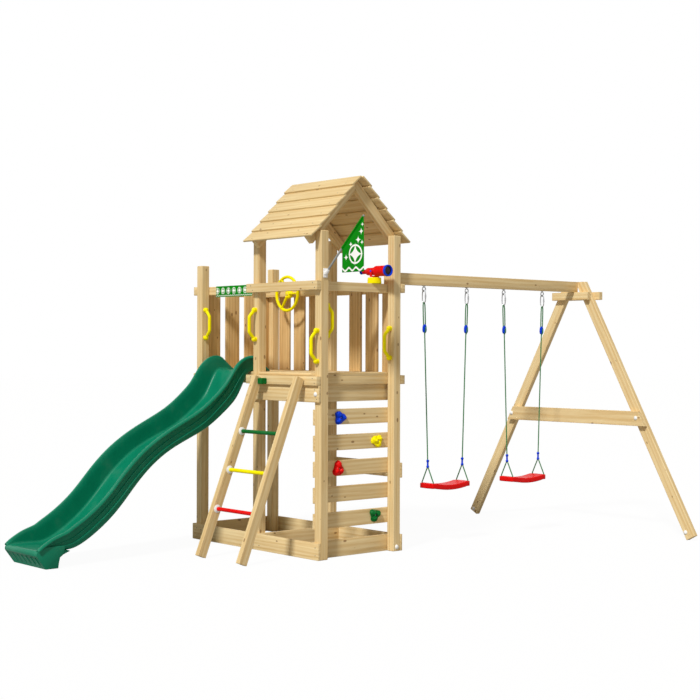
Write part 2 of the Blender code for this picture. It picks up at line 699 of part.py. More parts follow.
# Steering wheel, on an axle bolt in the rail between the two left-hand back posts
wheel_rail_y = (Y_IN - GAP - RAIL_T, Y_IN - GAP)
face = wheel_rail_y[0]
hub_front = face - RUN - WHEEL_HUB_T
combine("wheel_rail", [
    box("rail", BOTH_POSTS, wheel_rail_y, rail_z(TOP_RAIL_Z)),
    rod("bolt", (WHEEL_X, face + 0.02, WHEEL_Z), (WHEEL_X, hub_front - RUN - AXLE_HEAD_T / 2, WHEEL_Z),
        AXLE_D / 2, YELLOW),
    rod("head", (WHEEL_X, hub_front - RUN, WHEEL_Z), (WHEEL_X, hub_front - RUN - AXLE_HEAD_T, WHEEL_Z),
        AXLE_HEAD_D / 2, YELLOW)])
rim_y = face - WHEEL_OFFSET
spoke_y = rim_y + WHEEL_SPOKE_T * 0.6
wheel = [rod("hub", (WHEEL_X, face - RUN, WHEEL_Z), (WHEEL_X, hub_front, WHEEL_Z), WHEEL_HUB_D / 2, YELLOW, 24),
         ring("rim", (WHEEL_X, rim_y, WHEEL_Z), WHEEL_R, WHEEL_TUBE / 2, "Y", YELLOW, 28, 8)]
for turn in (0, 120, 240):
    a = math.radians(turn)
    near = WHEEL_HUB_D * 0.3
    half = (WHEEL_R - near) / 2
    mid = (WHEEL_X + math.cos(a) * (near + half), spoke_y, WHEEL_Z + math.sin(a) * (near + half))
    wheel.append(box("spoke", (mid[0] - half, mid[0] + half),
                     (mid[1] - WHEEL_SPOKE_T / 2, mid[1] + WHEEL_SPOKE_T / 2),
                     (mid[2] - WHEEL_SPOKE_W / 2, mid[2] + WHEEL_SPOKE_W / 2), YELLOW, 0.003, (0, -a, 0)))
combine("steering_wheel", wheel,
        [rod("bore", (WHEEL_X, face + 0.02, WHEEL_Z), (WHEEL_X, hub_front - 0.02, WHEEL_Z),
             AXLE_D / 2 + RUN, None, 16, cutter=True)])
bpy.data.objects["steering_wheel"].data.materials.clear()
bpy.data.objects["steering_wheel"].data.materials.append(YELLOW)

# Telescope: a base on the climbing side's top rail, a fork that pans and a tube that tilts
scope = Vector((BEAM_X, SCOPE_Y, TOP_RAIL_Z))
base_top = scope.z + GAP + SCOPE_BASE_T
turned("telescope_base", [(0, SCOPE_BASE_T), (SCOPE_BASE_D * 0.44, SCOPE_BASE_T),
                          (SCOPE_BASE_D * 0.47, SCOPE_BASE_T - 0.003), (SCOPE_BASE_D / 2, 0), (0, 0)],
       YELLOW, Matrix.Translation((scope.x, scope.y, scope.z + GAP)), 28)
axis_z = scope.z + SCOPE_AXIS_H
fork_out = SCOPE_FORK_IN + SCOPE_FORK_T
fork_floor = base_top + RUN + 0.003
fork = [box("bridge", (scope.x - SCOPE_FORK_W / 2, scope.x + SCOPE_FORK_W / 2),
            (scope.y - fork_out, scope.y + fork_out), (fork_floor, fork_floor + 0.009), RED, 0),
        rod("stem", (scope.x, scope.y, base_top + RUN), (scope.x, scope.y, fork_floor + 0.004), 0.014, RED, 20)]
for side in (-1, 1):
    y0, y1 = sorted((scope.y + side * SCOPE_FORK_IN, scope.y + side * fork_out))
    fork.append(box("cheek", (scope.x - SCOPE_FORK_W / 2, scope.x + SCOPE_FORK_W / 2), (y0, y1),
                    (fork_floor + 0.002, axis_z + SCOPE_FORK_W / 2), RED, 0))
combine("telescope_yoke", fork,
        [rod("bore", (scope.x, scope.y - 0.06, axis_z), (scope.x, scope.y + 0.06, axis_z),
             SCOPE_PIN_D / 2 + RUN, None, 16, cutter=True)])
profile, h = [], -SCOPE_BACK
for length, radius in SCOPE_STEPS:
    profile += [(radius, h), (radius, h + length)]
    h += length
rim = SCOPE_STEPS[-1][1] - SCOPE_RIM
profile = [(0, -SCOPE_BACK)] + profile + [(rim, h), (rim, h - SCOPE_BOWL_DEPTH), (0, h - SCOPE_BOWL_DEPTH)]
along_x = Matrix(((0, 0, 1, scope.x), (0, 1, 0, scope.y), (-1, 0, 0, axis_z), (0, 0, 0, 1)))
combine("telescope_tube", [
    turned("tube", profile[::-1], RED, along_x, 24),
    rod("pin", (scope.x, scope.y - fork_out, axis_z), (scope.x, scope.y + fork_out, axis_z),
        SCOPE_PIN_D / 2, RED, 16)])

# Flag: a bracket on the front right post, a slanting pole and a flag under it
pole_dir = Vector((POLE_TIP[0] - POLE_FOOT[0], 0, POLE_TIP[1] - POLE_FOOT[1])).normalized()
bx, by, bz = FLAG_BRACKET
combine("flag_pole", [
    box("bracket", (GAP, GAP + bx), (FLAG_Y - by / 2, FLAG_Y + by / 2), (FLAG_BRACKET_Z, FLAG_BRACKET_Z + bz), GREY),
    rod("pole", (POLE_FOOT[0], FLAG_Y, POLE_FOOT[1]), (POLE_TIP[0], FLAG_Y, POLE_TIP[1]), POLE_D / 2, GREY, 12)])


def under_pole(x):
    """Height of the flag's top edge, just under the pole."""
    rise = pole_dir.z / pole_dir.x
    return POLE_FOOT[1] + (x - POLE_FOOT[0]) * rise - (POLE_D / 2 + GAP) / pole_dir.x


slab("flag", [(FLAG_X0, FLAG_BOTTOM), (FLAG_X1, FLAG_BOTTOM), (FLAG_X1, under_pole(FLAG_X1)),
              (FLAG_X0, under_pole(FLAG_X0))], FLAG_T / 2, frame_xz(FLAG_Y), CLOTH)

# Swing beam with four eyes.  It rests on the tower's rails and on the head block.
beam_top = BEAM_Z + BEAM_H
beam = [box("beam", (BEAM_X - RAIL_T / 2, BEAM_X + RAIL_T / 2), (Y_IN, BEAM_END_Y - GAP), (BEAM_Z, beam_top))]
eye_z = BEAM_Z - EYE_DROP - EYE_R - EYE_D / 2
PIVOT_Z = eye_z - EYE_R
hooks = [y + side * SWING_HOOKS / 2 for y in SWING_Y for side in (-1, 1)]
for y in hooks:
    beam.append(rod("shank", (BEAM_X, y, BEAM_Z + 0.02), (BEAM_X, y, eye_z + EYE_R), EYE_D * 0.45, GREY, 7))
    beam.append(ring("eye", (BEAM_X, y, eye_z), EYE_R, EYE_D / 2, "X", GREY, 12, 6))
combine("swing_beam", beam)

# Swing stand: two leaning legs cut level at the top, two head blocks and a crossbar
LEG_ANGLE = math.atan(LEG_SLOPE)
leg_y = (BEAM_END_Y, BEAM_END_Y + RAIL_T)
leg_len = (beam_top + 0.15) / math.cos(LEG_ANGLE)
for name, side in (("swing_leg_right", 1), ("swing_leg_left", -1)):
    stand = LEG_SPREAD if side > 0 else LEG_SPREAD + LEFT_LEG_OUT
    base = Vector((BEAM_X + side * stand, 0, -EDGE * math.sin(LEG_ANGLE)))
    up = Vector((-side * math.sin(LEG_ANGLE), 0, math.cos(LEG_ANGLE)))
    out = Vector((side * math.cos(LEG_ANGLE), 0, math.sin(LEG_ANGLE)))
    mid = base + up * leg_len / 2 + out * LEG_W / 2
    leg = box("leg", (mid.x - LEG_W / 2, mid.x + LEG_W / 2), leg_y, (mid.z - leg_len / 2, mid.z + leg_len / 2),
              turn=(0, -side * LEG_ANGLE, 0))
    combine(name, [leg], [box("saw", (BEAM_X - 1, BEAM_X + 1), (leg_y[0] - 0.1, leg_y[1] + 0.1),
                              (beam_top, beam_top + 1), None, 0, cutter=True)])
head_z = (TOP_RAIL_Z - RAIL_H, TOP_RAIL_Z)
for name, shift, y0 in (("swing_head_block_front", HEAD_SHIFT, leg_y[0] - GAP - RAIL_T),
                        ("swing_head_block_back", HEAD_BACK_SHIFT, leg_y[1] + GAP)):
    x = BEAM_X + shift
    box(name, (x - HEAD_LEN / 2, x + HEAD_LEN / 2), (y0, y0 + RAIL_T), head_z)


def leg_outside(z):
    return LEG_SPREAD - LEG_SLOPE * z + LEG_W / math.cos(LEG_ANGLE)


low, high = CROSSBAR_Z, CROSSBAR_Z + CROSSBAR_H
slab("swing_crossbar", [(BEAM_X - leg_outside(low), low), (BEAM_X + leg_outside(low), low),
                        (BEAM_X + leg_outside(high), high), (BEAM_X - leg_outside(high), high)],
     RAIL_T / 2, frame_xz(leg_y[0] - GAP - RAIL_T / 2), WOOD, 0.002)


def swing_rope(name, hook_y, end_y):
    """Oval ring through the eye, rope, adjuster, bead and the two lines to the seat."""
    top = PIVOT_Z + EYE_D / 2 + RUN + RING_D / 2
    low = top + RING_D / 2 - RING_H
    oval, half = [], (RING_W - RING_D) / 2
    tall = (top - low - RING_D / 2) / 2
    for i in range(20):
        a = 2 * math.pi * i / 20
        c, s = math.cos(a), math.sin(a)
        oval.append((BEAM_X + half * math.copysign(abs(c) ** 0.8, c), hook_y,
                     top - tall + tall * math.copysign(abs(s) ** 0.8, s)))
    start = Vector((BEAM_X, hook_y, low + 0.004))
    end = Vector((BEAM_X, end_y, BEAD_Z))
    at = start.lerp(end, (start.z - PIVOT_Z + ADJUSTER_DROP) / (start.z - end.z))
    pieces = [box("adjuster", *[(at[k] - ADJUSTER[k] / 2, at[k] + ADJUSTER[k] / 2) for k in range(3)], BLUE, 0.007),
              tube("ring", oval, RING_D / 2, GREY, 1, True),
              rod("rope", at, end, ROPE_D / 2, ROPE, 8)]
    # From the ring to the adjuster the rope is doubled
    for side in (-1, 1):
        bow = Vector((0, side * LOOP_W / 2, 0))
        pieces.append(tube("loop", [start + bow * 0.25, start.lerp(at, 0.10) + bow * 0.9, start.lerp(at, 0.5) + bow,
                                    at + bow * 0.7], ROPE_D / 2, ROPE, 1))
    ball, neck, tall = BEAD_D / 2, BEAD_NECK_D / 2, BEAD_H / 2
    half_bead = [(ball * math.sin(a), tall - ball + ball * math.cos(a)) for a in (0.0, 0.7, 1.4, 2.2)]
    half_bead += [(neck, tall - 2 * ball), (neck, 0.004)]
    pieces.append(turned("bead", half_bead + [(r, -h) for r, h in reversed(half_bead)], BLUE,
                         Matrix.Translation(end), 12))
    for side in (-1, 1):
        x = BEAM_X + side * SEAT_ROPE_X
        pieces.append(tube("line", [(BEAM_X + side * 0.003, end_y, BEAD_Z - BEAD_H * 0.36),
                                    (x, end_y, SEAT_Z + 0.012), (x, end_y, SEAT_Z + GAP)], ROPE_D / 2, ROPE, 1))
    combine(name, pieces)


def swing_seat(name, y):
    """A thick moulded seat that sags between its two flat ends."""
    rows = 12
    bm = bmesh.new()
    bmesh.ops.create_grid(bm, x_segments=6, y_segments=rows, size=0.5)
    for v in bm.verts:
        s = v.co.y * 2
        drop = SEAT_SAG * max(0.0, 1 - (s / SEAT_FLAT) ** 2)
        v.co = Vector((v.co.x * SEAT_W, v.co.y * SEAT_L, -drop))
    mesh = bpy.data.meshes.new(name)
    bm.to_mesh(mesh)
    bm.free()
    plank = add(name, mesh, RED, (BEAM_X, y, SEAT_Z))
    thick = plank.modifiers.new("sheet", "SOLIDIFY")
    thick.thickness = SEAT_T
    thick.offset = -1
    solid(plank)


for number, y in enumerate(SWING_Y, 1):
    for word, side in (("front", -1), ("back", 1)):
        swing_rope("swing_%d_rope_%s" % (number, word), y + side * SWING_HOOKS / 2, y + side * SWING_SPREAD / 2)
    swing_seat("swing_%d_seat" % number, y)

# Round pieces are shaded smooth
for ob in PARTS.objects:
    if ob.name.split("_")[0] in ("hold", "handle", "steering", "telescope", "slide", "swing", "ladder"):
        ob.data.shade_smooth()
        ob.data.set_sharp_from_angle(angle=math.radians(40))


def centre_on_origin():
    """Stand the object's box on the origin, and put moving pieces on their joint's axis."""
    bpy.context.view_layer.update()
    graph = bpy.context.evaluated_depsgraph_get()
    low, high = Vector((9, 9, 9)), Vector((-9, -9, -9))
    for ob in PARTS.objects:
        shape = ob.evaluated_get(graph)
        for v in shape.data.vertices:
            p = ob.matrix_world @ v.co
            low = Vector(map(min, low, p))
            high = Vector(map(max, high, p))
    shift = Vector((-(low.x + high.x) / 2, -(low.y + high.y) / 2, 0))
    for ob in PARTS.objects:
        ob.matrix_world = Matrix.Translation(shift) @ ob.matrix_world
    axes = {"steering_wheel": (WHEEL_X, rim_y, WHEEL_Z), "telescope_yoke": tuple(scope),
            "telescope_tube": (scope.x, scope.y, axis_z)}
    for number, y in enumerate(SWING_Y, 1):
        for piece in ("rope_front", "rope_back", "seat"):
            axes["swing_%d_%s" % (number, piece)] = (BEAM_X, y, PIVOT_Z)
    for name, place in axes.items():
        ob = bpy.data.objects[name]
        ob.data.transform(Matrix.Translation(-(Vector(place) + shift)) @ ob.matrix_world)
        ob.matrix_world = Matrix.Translation(Vector(place) + shift)
    print("shift", [round(v, 5) for v in shift], "box", [round(v, 4) for v in low], [round(v, 4) for v in high])


centre_on_origin()
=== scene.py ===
"""Garden play tower in planed pine, with moulded plastic fittings and a swing unit.

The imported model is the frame.  Boards, ropes and fittings that need more than a plain
solid are modelled here over it, and everything gets its finish.
"""

import math

import bmesh
import bpy
from mathutils import Matrix, Vector, noise


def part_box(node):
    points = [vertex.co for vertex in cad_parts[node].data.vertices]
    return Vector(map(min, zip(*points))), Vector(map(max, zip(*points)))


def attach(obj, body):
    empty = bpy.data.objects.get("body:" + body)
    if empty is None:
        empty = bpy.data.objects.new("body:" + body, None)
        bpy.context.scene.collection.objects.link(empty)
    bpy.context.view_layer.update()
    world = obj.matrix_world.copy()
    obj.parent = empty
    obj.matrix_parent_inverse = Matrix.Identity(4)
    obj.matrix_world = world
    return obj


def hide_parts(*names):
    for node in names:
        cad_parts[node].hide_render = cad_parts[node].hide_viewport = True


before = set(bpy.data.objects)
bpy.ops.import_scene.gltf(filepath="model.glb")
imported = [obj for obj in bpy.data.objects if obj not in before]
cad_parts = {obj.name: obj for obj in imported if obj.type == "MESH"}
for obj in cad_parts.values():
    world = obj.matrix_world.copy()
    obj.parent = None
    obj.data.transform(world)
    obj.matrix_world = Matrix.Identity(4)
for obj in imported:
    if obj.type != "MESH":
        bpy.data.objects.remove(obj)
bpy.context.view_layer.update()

bl_info = {
    "name": "Garden play tower",
    "version": (1, 0, 0),
    "blender": (4, 5, 0),
    "location": "3D View > Sidebar > Play tower",
    "description": "Builds the finished pieces of a wooden play tower over its packed frame",
    "category": "Object",
}

# Sizes that several pieces share, in metres; places are counted as at() counts them
GAP = 0.0003  # air between boards that meet
POST = 0.075  # side of a post
THIN = 0.022  # thickness of a facing board
RAIL, RAIL_DEEP = 0.045, 0.0700  # thickness and depth of a rail
DECK = 0.024  # thickness of a deck board
MIDDLE_X, LEFT_X = -0.845, -1.625  # left faces of the middle and the left posts
POSTS_X = (LEFT_X + POST / 2, MIDDLE_X + POST / 2, -POST / 2)  # middles of the posts
STRIP_X = -0.1206  # where the deck's long boards and the last slat end
TOP_RAIL_Z, PLATFORM_RAIL_Z, SLAT_Z = (2.04, 2.11), (1.318, 1.3877), (1.333, 2.102)
SLAT = 0.139  # width of a fence slat
BACK_SLATS = [(x, min(x + SLAT, STRIP_X)) for x in (-1.526, -1.3225, -1.119, -0.598, -0.3975, -0.197)]
LEFT_SLATS = [(y, min(y + SLAT, 0.7465)) for y in (0.090, 0.2905, 0.491, 0.6915)]
SLOPES = (("roof_front_slope", -1), ("roof_back_slope", 1))
ROOT = math.sqrt(0.5)  # sine and cosine of the roof's 45 degrees
ROOF_SHEET = 0.018  # thickness of a slope where its boards are thinnest
ROOF_STEP = 0.700 / 6  # what each roof board leaves of the one below
ROOF_LAP = 0.014  # how far each roof board's foot stands out
SWINGS = (("swing_1", 1.4195), ("swing_2", 2.371))  # body and middle of each swing
EYE_OUT, SEAT_OUT = 0.24875, 0.2005  # from a swing's middle to its eyes, and to its ropes' lower ends
EYE, ROD = 0.018, 0.0045  # radius of an eye, and of the rod that eyes and rings are bent from

LOW_A, HIGH_A = (Vector(v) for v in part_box("post_front_right"))
CORNER = Vector((HIGH_A.x, LOW_A.y, 0.0))


def at(x, y, z):
    """A point given from the ground corner of the front right post."""
    return CORNER + Vector((x, y, z))


def span(node):
    """A node's box as two points measured from the same corner."""
    low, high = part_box(node)
    return Vector(low) - CORNER, Vector(high) - CORNER


def on_slope(node, side, down, out):
    """Y and z of a point so far down a roof slope from the ridge, and so far out of its underside."""
    low, high = span(node)
    ridge_y = high.y if side < 0 else low.y
    return ridge_y + side * (down * ROOT + out * ROOT), high.z - ROOF_SHEET / ROOT - down * ROOT + out * ROOT


def linear(code):
    """An sRGB hex value as linear red, green and blue."""
    out = []
    for i in (0, 2, 4):
        c = int(code.lstrip("#")[i:i + 2], 16) / 255
        out.append(c / 12.92 if c <= 0.04045 else ((c + 0.055) / 1.055) ** 2.4)
    return tuple(out)


def opaque(colours, share=1.0):
    """A linear colour, darkened by a share, as ramps and sockets take it."""
    return (*(c * share for c in colours), 1.0)


# ---- settings -------------------------------------------------------------

def colour(name, description, code):
    return bpy.props.FloatVectorProperty(name=name, description=description, subtype="COLOR", size=3,
                                         min=0.0, max=1.0, default=linear(code))


def length(name, description, default):
    return bpy.props.FloatProperty(name=name, description=description, subtype="DISTANCE", unit="LENGTH",
                                   default=default, min=0.0001)


class TimberSettings(bpy.types.PropertyGroup):
    light: colour("Light wood", "Colour of the pale early wood", "#EDD6A4")
    dark: colour("Dark wood", "Colour of the late wood between the rings", "#CEA868")
    knot: colour("Knots", "Colour of the small knots", "#75481C")
    # The roof's two colours are a darker copy of the tower's pine: painted shade that keeps the sun-facing
    # slopes no brighter than the walls
    roof_light_painted_shade: colour("Light roof wood with painted shade", "Pale wood of the roof boards", "#E5CF9C")
    roof_dark_painted_shade: colour("Dark roof wood with painted shade", "Late wood of the roof boards", "#CDA96E")
    # The slats' two colours are a darker, warmer copy of the tower's pine: painted shade and warm bounce
    # light from under the roof
    slat_light_painted_shade: colour("Light slat wood", "Pale wood of the fence slats", "#E2C28A")
    slat_dark_painted_shade: colour("Dark slat wood", "Late wood of the fence slats", "#B88D52")
    ring_gap: length("Ring spacing", "Distance between two rings on a flat-sawn face", 0.028)
    edge: length("Board edge", "Radius of a board's rounded edges", 0.003)


class PlasticSettings(bpy.types.PropertyGroup):
    yellow: colour("Yellow", "Handles, wheel, rung and telescope base", "#FFF000")
    red: colour("Red", "Telescope, seats, rung and hold", "#E8100F")
    blue: colour("Blue", "Telescope ring, hold, beads and adjusters", "#0A3FD8")
    green: colour("Green", "Hold, rung and plate", "#08692A")
    slide: colour("Slide green", "The slide's polyethylene", "#067C5C")
    white: colour("White", "Caps and brackets", "#F4F4F2")
    grain: length("Moulded grain", "Size of the pebbled grain, drawn coarser than the real one", 0.003)


class RopeSettings(bpy.types.PropertyGroup):
    fibre: colour("Rope", "Polypropylene fibre of the swing ropes", "#1F7A38")
    thick: length("Rope thickness", "Diameter of a swing rope", 0.011)
    lay: length("Lay", "Length of rope in which a strand turns once", 0.038)


class ClothSettings(bpy.types.PropertyGroup):
    ground: colour("Print ground", "Green ground of the flag and the banner", "#068A0C")
    motif: colour("Print motif", "White of the printed star and waves", "#F7F8F2")
    ripple: length("Ripple", "How far the flag's cloth waves to each side", 0.004)


class StageSettings(bpy.types.PropertyGroup):
    floor: bpy.props.FloatProperty(name="Floor shadow", description="How much of the shadow the floor keeps",
                                   subtype="FACTOR", default=0.04, min=0.0, max=1.0)
    sun: bpy.props.FloatProperty(name="Sun", description="Strength of the key lamp", default=2.80, min=0.0)
    sky: bpy.props.FloatProperty(name="Sky", description="Strength of the light from all round",
                                 default=0.36, min=0.0)


# ---- materials ------------------------------------------------------------

def add_node(tree, kind, values=None, links=None, **settings):
    """One shader node with its settings, its input values and the sockets that feed it."""
    made = tree.nodes.new("ShaderNode" + kind)
    for key, value in settings.items():
        setattr(made, key, value)
    for key, value in (values or {}).items():
        made.inputs[key].default_value = value
    for key, source in (links or {}).items():
        tree.links.new(source, made.inputs[key])
    return made


def new_material(name, rough, metal=0.0, **sockets):
    """A material, its tree and its shader, or the material alone if it was made before."""
    if name in bpy.data.materials:
        return bpy.data.materials[name], None, None
    mat = bpy.data.materials.new(name)
    mat.use_nodes = True
    shader = mat.node_tree.nodes["Principled BSDF"]
    shader.inputs["Roughness"].default_value = rough
    shader.inputs["Metallic"].default_value = metal
    for key, value in sockets.items():
        shader.inputs[key.replace("_", " ")].default_value = value
    return mat, mat.node_tree, shader


def ramp(tree, source, stops):
    made = add_node(tree, "ValToRGB", links={"Fac": source})
    bar = made.color_ramp
    while len(bar.elements) < len(stops):
        bar.elements.new(0.5)
    for element, (place, value) in zip(bar.elements, stops):
        element.position = place
        element.color = value
    return made.outputs["Color"]


def object_space(tree):
    return add_node(tree, "TexCoord").outputs["Object"]


def cloud(tree, space, scale, detail=2.0, roughness=0.5):
    """Noise in a space."""
    return add_node(tree, "TexNoise", {"Scale": scale, "Detail": detail, "Roughness": roughness},
                    {"Vector": space}).outputs["Fac"]


def maths(tree, operation, *terms):
    """A sum, product and so on of numbers and sockets."""
    values = {i: term for i, term in enumerate(terms) if isinstance(term, (int, float))}
    links = {i: term for i, term in enumerate(terms) if i not in values}
    return add_node(tree, "Math", values, links, operation=operation).outputs[0]


def stretched(tree, space, scale):
    return add_node(tree, "VectorMath", {1: scale}, {0: space}, operation="MULTIPLY").outputs[0]


def between(tree, value, low, high):
    """A value from 0 to 1 brought between two others."""
    return add_node(tree, "MapRange", {"To Min": low, "To Max": high}, {"Value": value}).outputs[0]


def dress(tree, shader, body, height=None, strength=0.0, depth=0.0, gloss=None):
    """Feeds a shader its colour, a bump from a height, and its roughness."""
    tree.links.new(body, shader.inputs["Base Color"])
    if height is not None:
        bump = add_node(tree, "Bump", {"Strength": strength, "Distance": depth}, {"Height": height})
        tree.links.new(bump.outputs["Normal"], shader.inputs["Normal"])
    if gloss is not None:
        tree.links.new(gloss, shader.inputs["Roughness"])


def planed_pine(name, grain, light, dark, spread=1.0):
    """Planed softwood: rings drawn out along the board, fine pores, a few small knots.

    grain turns the pattern so that the board's length is the pattern's first axis, and
    spread says how much of the colour the rings take.
    """
    mat, tree, shader = new_material(name, 0.62, Specular_IOR_Level=0.35)
    if tree is None:
        return mat
    timber = bpy.context.scene.timber_settings
    # Every board shows another place of the wood, and a tone of its own
    random = add_node(tree, "ObjectInfo").outputs["Random"]
    own = add_node(tree, "VectorMath", {0: (3.1, 1.7, 2.3)}, {"Scale": random}, operation="SCALE")
    moved = add_node(tree, "VectorMath", links={0: object_space(tree), 1: own.outputs[0]}, operation="ADD")
    turn = add_node(tree, "Mapping", {"Rotation": grain}, {"Vector": moved.outputs[0]}).outputs[0]
    rings = add_node(tree, "TexWave",
                     {"Scale": 0.314 / timber.ring_gap, "Distortion": 3.5, "Detail": 3.0,
                      "Detail Scale": 1.4, "Detail Roughness": 0.6},
                     {"Vector": stretched(tree, turn, (0.07, 1.0, 1.0))},
                     wave_type="RINGS", rings_direction="X").outputs["Fac"]
    pores = cloud(tree, stretched(tree, turn, (2.2, 60.0, 60.0)), 1.0, 4.0, 0.6)
    broad = cloud(tree, turn, 3.2)
    late = maths(tree, "MULTIPLY_ADD", pores, 0.83, maths(tree, "MULTIPLY", rings, 0.17 * spread))
    wood = ramp(tree, late, [(0.30, opaque(light)), (0.85, opaque(dark))])
    cast = ramp(tree, maths(tree, "ADD", broad, random),
                [(0.25, (0.90, 0.86, 0.80, 1.0)), (1.0, (1.0, 1.0, 1.0, 1.0))])
    toned = add_node(tree, "Mix", {0: 0.8}, {6: wood, 7: cast}, data_type="RGBA", blend_type="MULTIPLY")
    # Every cell of the wood has a knot, as wide as the cell's own random red makes it
    knots = add_node(tree, "TexVoronoi", {"Scale": 1.0}, {"Vector": stretched(tree, turn, (8.0, 15.0, 15.0))})
    cell = add_node(tree, "SeparateColor", links={"Color": knots.outputs["Color"]})
    size = maths(tree, "MULTIPLY_ADD", cell.outputs["Red"], -0.125, knots.outputs["Distance"])
    spot = add_node(tree, "MapRange", {"From Min": 0.0, "From Max": 0.040, "To Min": 0.72, "To Max": 0.0},
                    {"Value": size})
    final = add_node(tree, "Mix", {7: opaque(timber.knot)}, {0: spot.outputs[0], 6: toned.outputs[2]},
                     data_type="RGBA")
    dress(tree, shader, final.outputs[2], pores, 0.25, 0.0006)
    return mat


def moulded(name, colours, rough, wear, shine):
    """Moulded plastic: an even colour with a faint chalking and a pebbled grain from the mould."""
    mat, tree, shader = new_material(name, rough, Specular_IOR_Level=shine)
    if tree is None:
        return mat
    space = object_space(tree)
    pebble = cloud(tree, space, 1.0 / bpy.context.scene.plastic_settings.grain)
    chalk = cloud(tree, space, 7.0, 4.0, 0.6)
    pale = [c + (0.9 - c) * wear for c in colours]
    body = ramp(tree, chalk, [(0.30, opaque(colours, 0.90)), (0.55, opaque(colours)), (0.85, opaque(pale))])
    dress(tree, shader, body, pebble, 0.3, 0.00015, between(tree, chalk, rough * 0.8, rough * 1.25))
    return mat


def polypropylene_rope(name, colours):
    """Split-film rope fibre: fine streaks along the strands, a little pale fluff."""
    mat, tree, shader = new_material(name, 0.75, Sheen_Weight=0.3)
    if tree is None:
        return mat
    fibre = cloud(tree, object_space(tree), 420.0, 3.0)
    lit = [min(1, c * 1.35 + 0.02) for c in colours]
    body = ramp(tree, fibre, [(0.3, opaque(colours, 0.55)), (0.7, opaque(lit))])
    dress(tree, shader, body, fibre, 0.5, 0.0005)
    return mat


def zinc_plated(name="zinc_plated_steel", code="#C9CCCF", rough=0.34):
    """Bright zinc-plated steel, with the cloudy spangle of plating."""
    mat, tree, shader = new_material(name, rough, 0.9)
    if tree is None:
        return mat
    spangle = cloud(tree, object_space(tree), 90.0, 3.0)
    base = linear(code)
    dress(tree, shader, ramp(tree, spangle, [(0.3, opaque(base, 0.75)), (0.7, opaque(base))]),
          gloss=between(tree, spangle, rough * 0.7, rough * 1.4))
    return mat


def painted_tube(name, code):
    """Grey painted tube of the flag pole, with a slight orange peel."""
    mat, tree, shader = new_material(name, 0.42)
    if tree is None:
        return mat
    peel = cloud(tree, object_space(tree), 300.0, 1.0)
    base = linear(code)
    dress(tree, shader, ramp(tree, peel, [(0.3, opaque(base, 0.85)), (0.7, opaque(base))]), peel, 0.2, 0.0002)
    return mat


def printed_cloth(name, centre, size, repeat=0.0, small=()):
    """Printed cloth: a plain green ground with a four-pointed star in a ring, or a row of stars.

    centre is the motif's middle and size its radius; repeat is the spacing of a row along X,
    and small lists the places and radii of more stars.
    """
    mat, tree, shader = new_material(name, 0.72, Specular_IOR_Level=0.1)
    if tree is None:
        return mat

    def sums(operation, *terms):
        return maths(tree, operation, *terms)

    def offset(value, by):
        return sums("ABSOLUTE", sums("SUBTRACT", value, by))

    def star_shape(across, along, radius):
        roots = [sums("SQRT", sums("DIVIDE", side, radius)) for side in (across, along)]
        return sums("LESS_THAN", sums("ADD", *roots), 1.0)

    cloth = bpy.context.scene.cloth_settings
    space = object_space(tree)
    parts = add_node(tree, "SeparateXYZ", links={0: space})
    u = sums("SUBTRACT", parts.outputs["X"], centre.x)
    v = sums("SUBTRACT", parts.outputs["Z"], centre.z)
    if repeat:
        # 40 whole steps more keep the number above nought, so that the row runs on to the left
        u = sums("SUBTRACT", sums("MODULO", sums("ADD", u, repeat * 40.5), repeat), repeat / 2)
    star = star_shape(sums("ABSOLUTE", u), sums("ABSOLUTE", v), size)
    for dx, dz, radius in small:
        star = sums("ADD", star, star_shape(offset(u, dx), offset(v, dz), radius))
    out = sums("SQRT", sums("ADD", sums("MULTIPLY", u, u), sums("MULTIPLY", v, v)))
    band = sums("LESS_THAN", offset(out, size * 0.72), size * 0.07)
    # A wavy hem runs below the star
    sine = sums("SINE", sums("MULTIPLY", parts.outputs["X"], 6.28 / (size * 0.9)))
    wave = sums("MULTIPLY", sine, size * 0.12)
    away = sums("ABSOLUTE", sums("ADD", sums("SUBTRACT", v, wave), size * 1.18))
    hem = sums("LESS_THAN", away, size * 0.08)
    both = sums("MINIMUM", sums("ADD", sums("ADD", star, band), hem), 1.0)
    weave = [add_node(tree, "TexWave", {"Scale": 150.0}, {"Vector": space},
                      bands_direction=way).outputs["Fac"] for way in "XZ"]
    green = ramp(tree, cloud(tree, space, 14.0, 3.0),
                 [(0.3, opaque(cloth.ground, 0.82)), (0.7, opaque(cloth.ground))])
    body = add_node(tree, "Mix", {7: opaque(cloth.motif)}, {0: both, 6: green}, data_type="RGBA")
    dress(tree, shader, body.outputs[2], sums("MULTIPLY", *weave), 0.3, 0.0003)
    return mat


def dark_lens(name):
    """Smoked acrylic of the telescope's front lens."""
    mat, tree, shader = new_material(name, 0.22, Specular_IOR_Level=0.25)
    if tree is None:
        return mat
    haze = cloud(tree, object_space(tree), 60.0)
    body = ramp(tree, haze, [(0.3, opaque(linear("#1E070B"))), (0.7, opaque(linear("#2E0A10")))])
    dress(tree, shader, body)
    return mat


def grain_along(way):
    """The turn that brings a board's length onto the pattern's first axis."""
    return tuple(Vector(way).rotation_difference(Vector((1, 0, 0))).to_euler())


GRAIN = {"X": (0.0, 0.0, 0.0), "Y": grain_along((0, 1, 0)), "Z": grain_along((0, 0, 1))}


def pine(way):
    """Tower timber with its grain along X, Y or Z, or with a label and a turn of its own."""
    t = bpy.context.scene.timber_settings
    label, turn = (way.lower(), GRAIN[way]) if isinstance(way, str) else way
    return planed_pine("planed_pine_" + label, turn, t.light, t.dark)


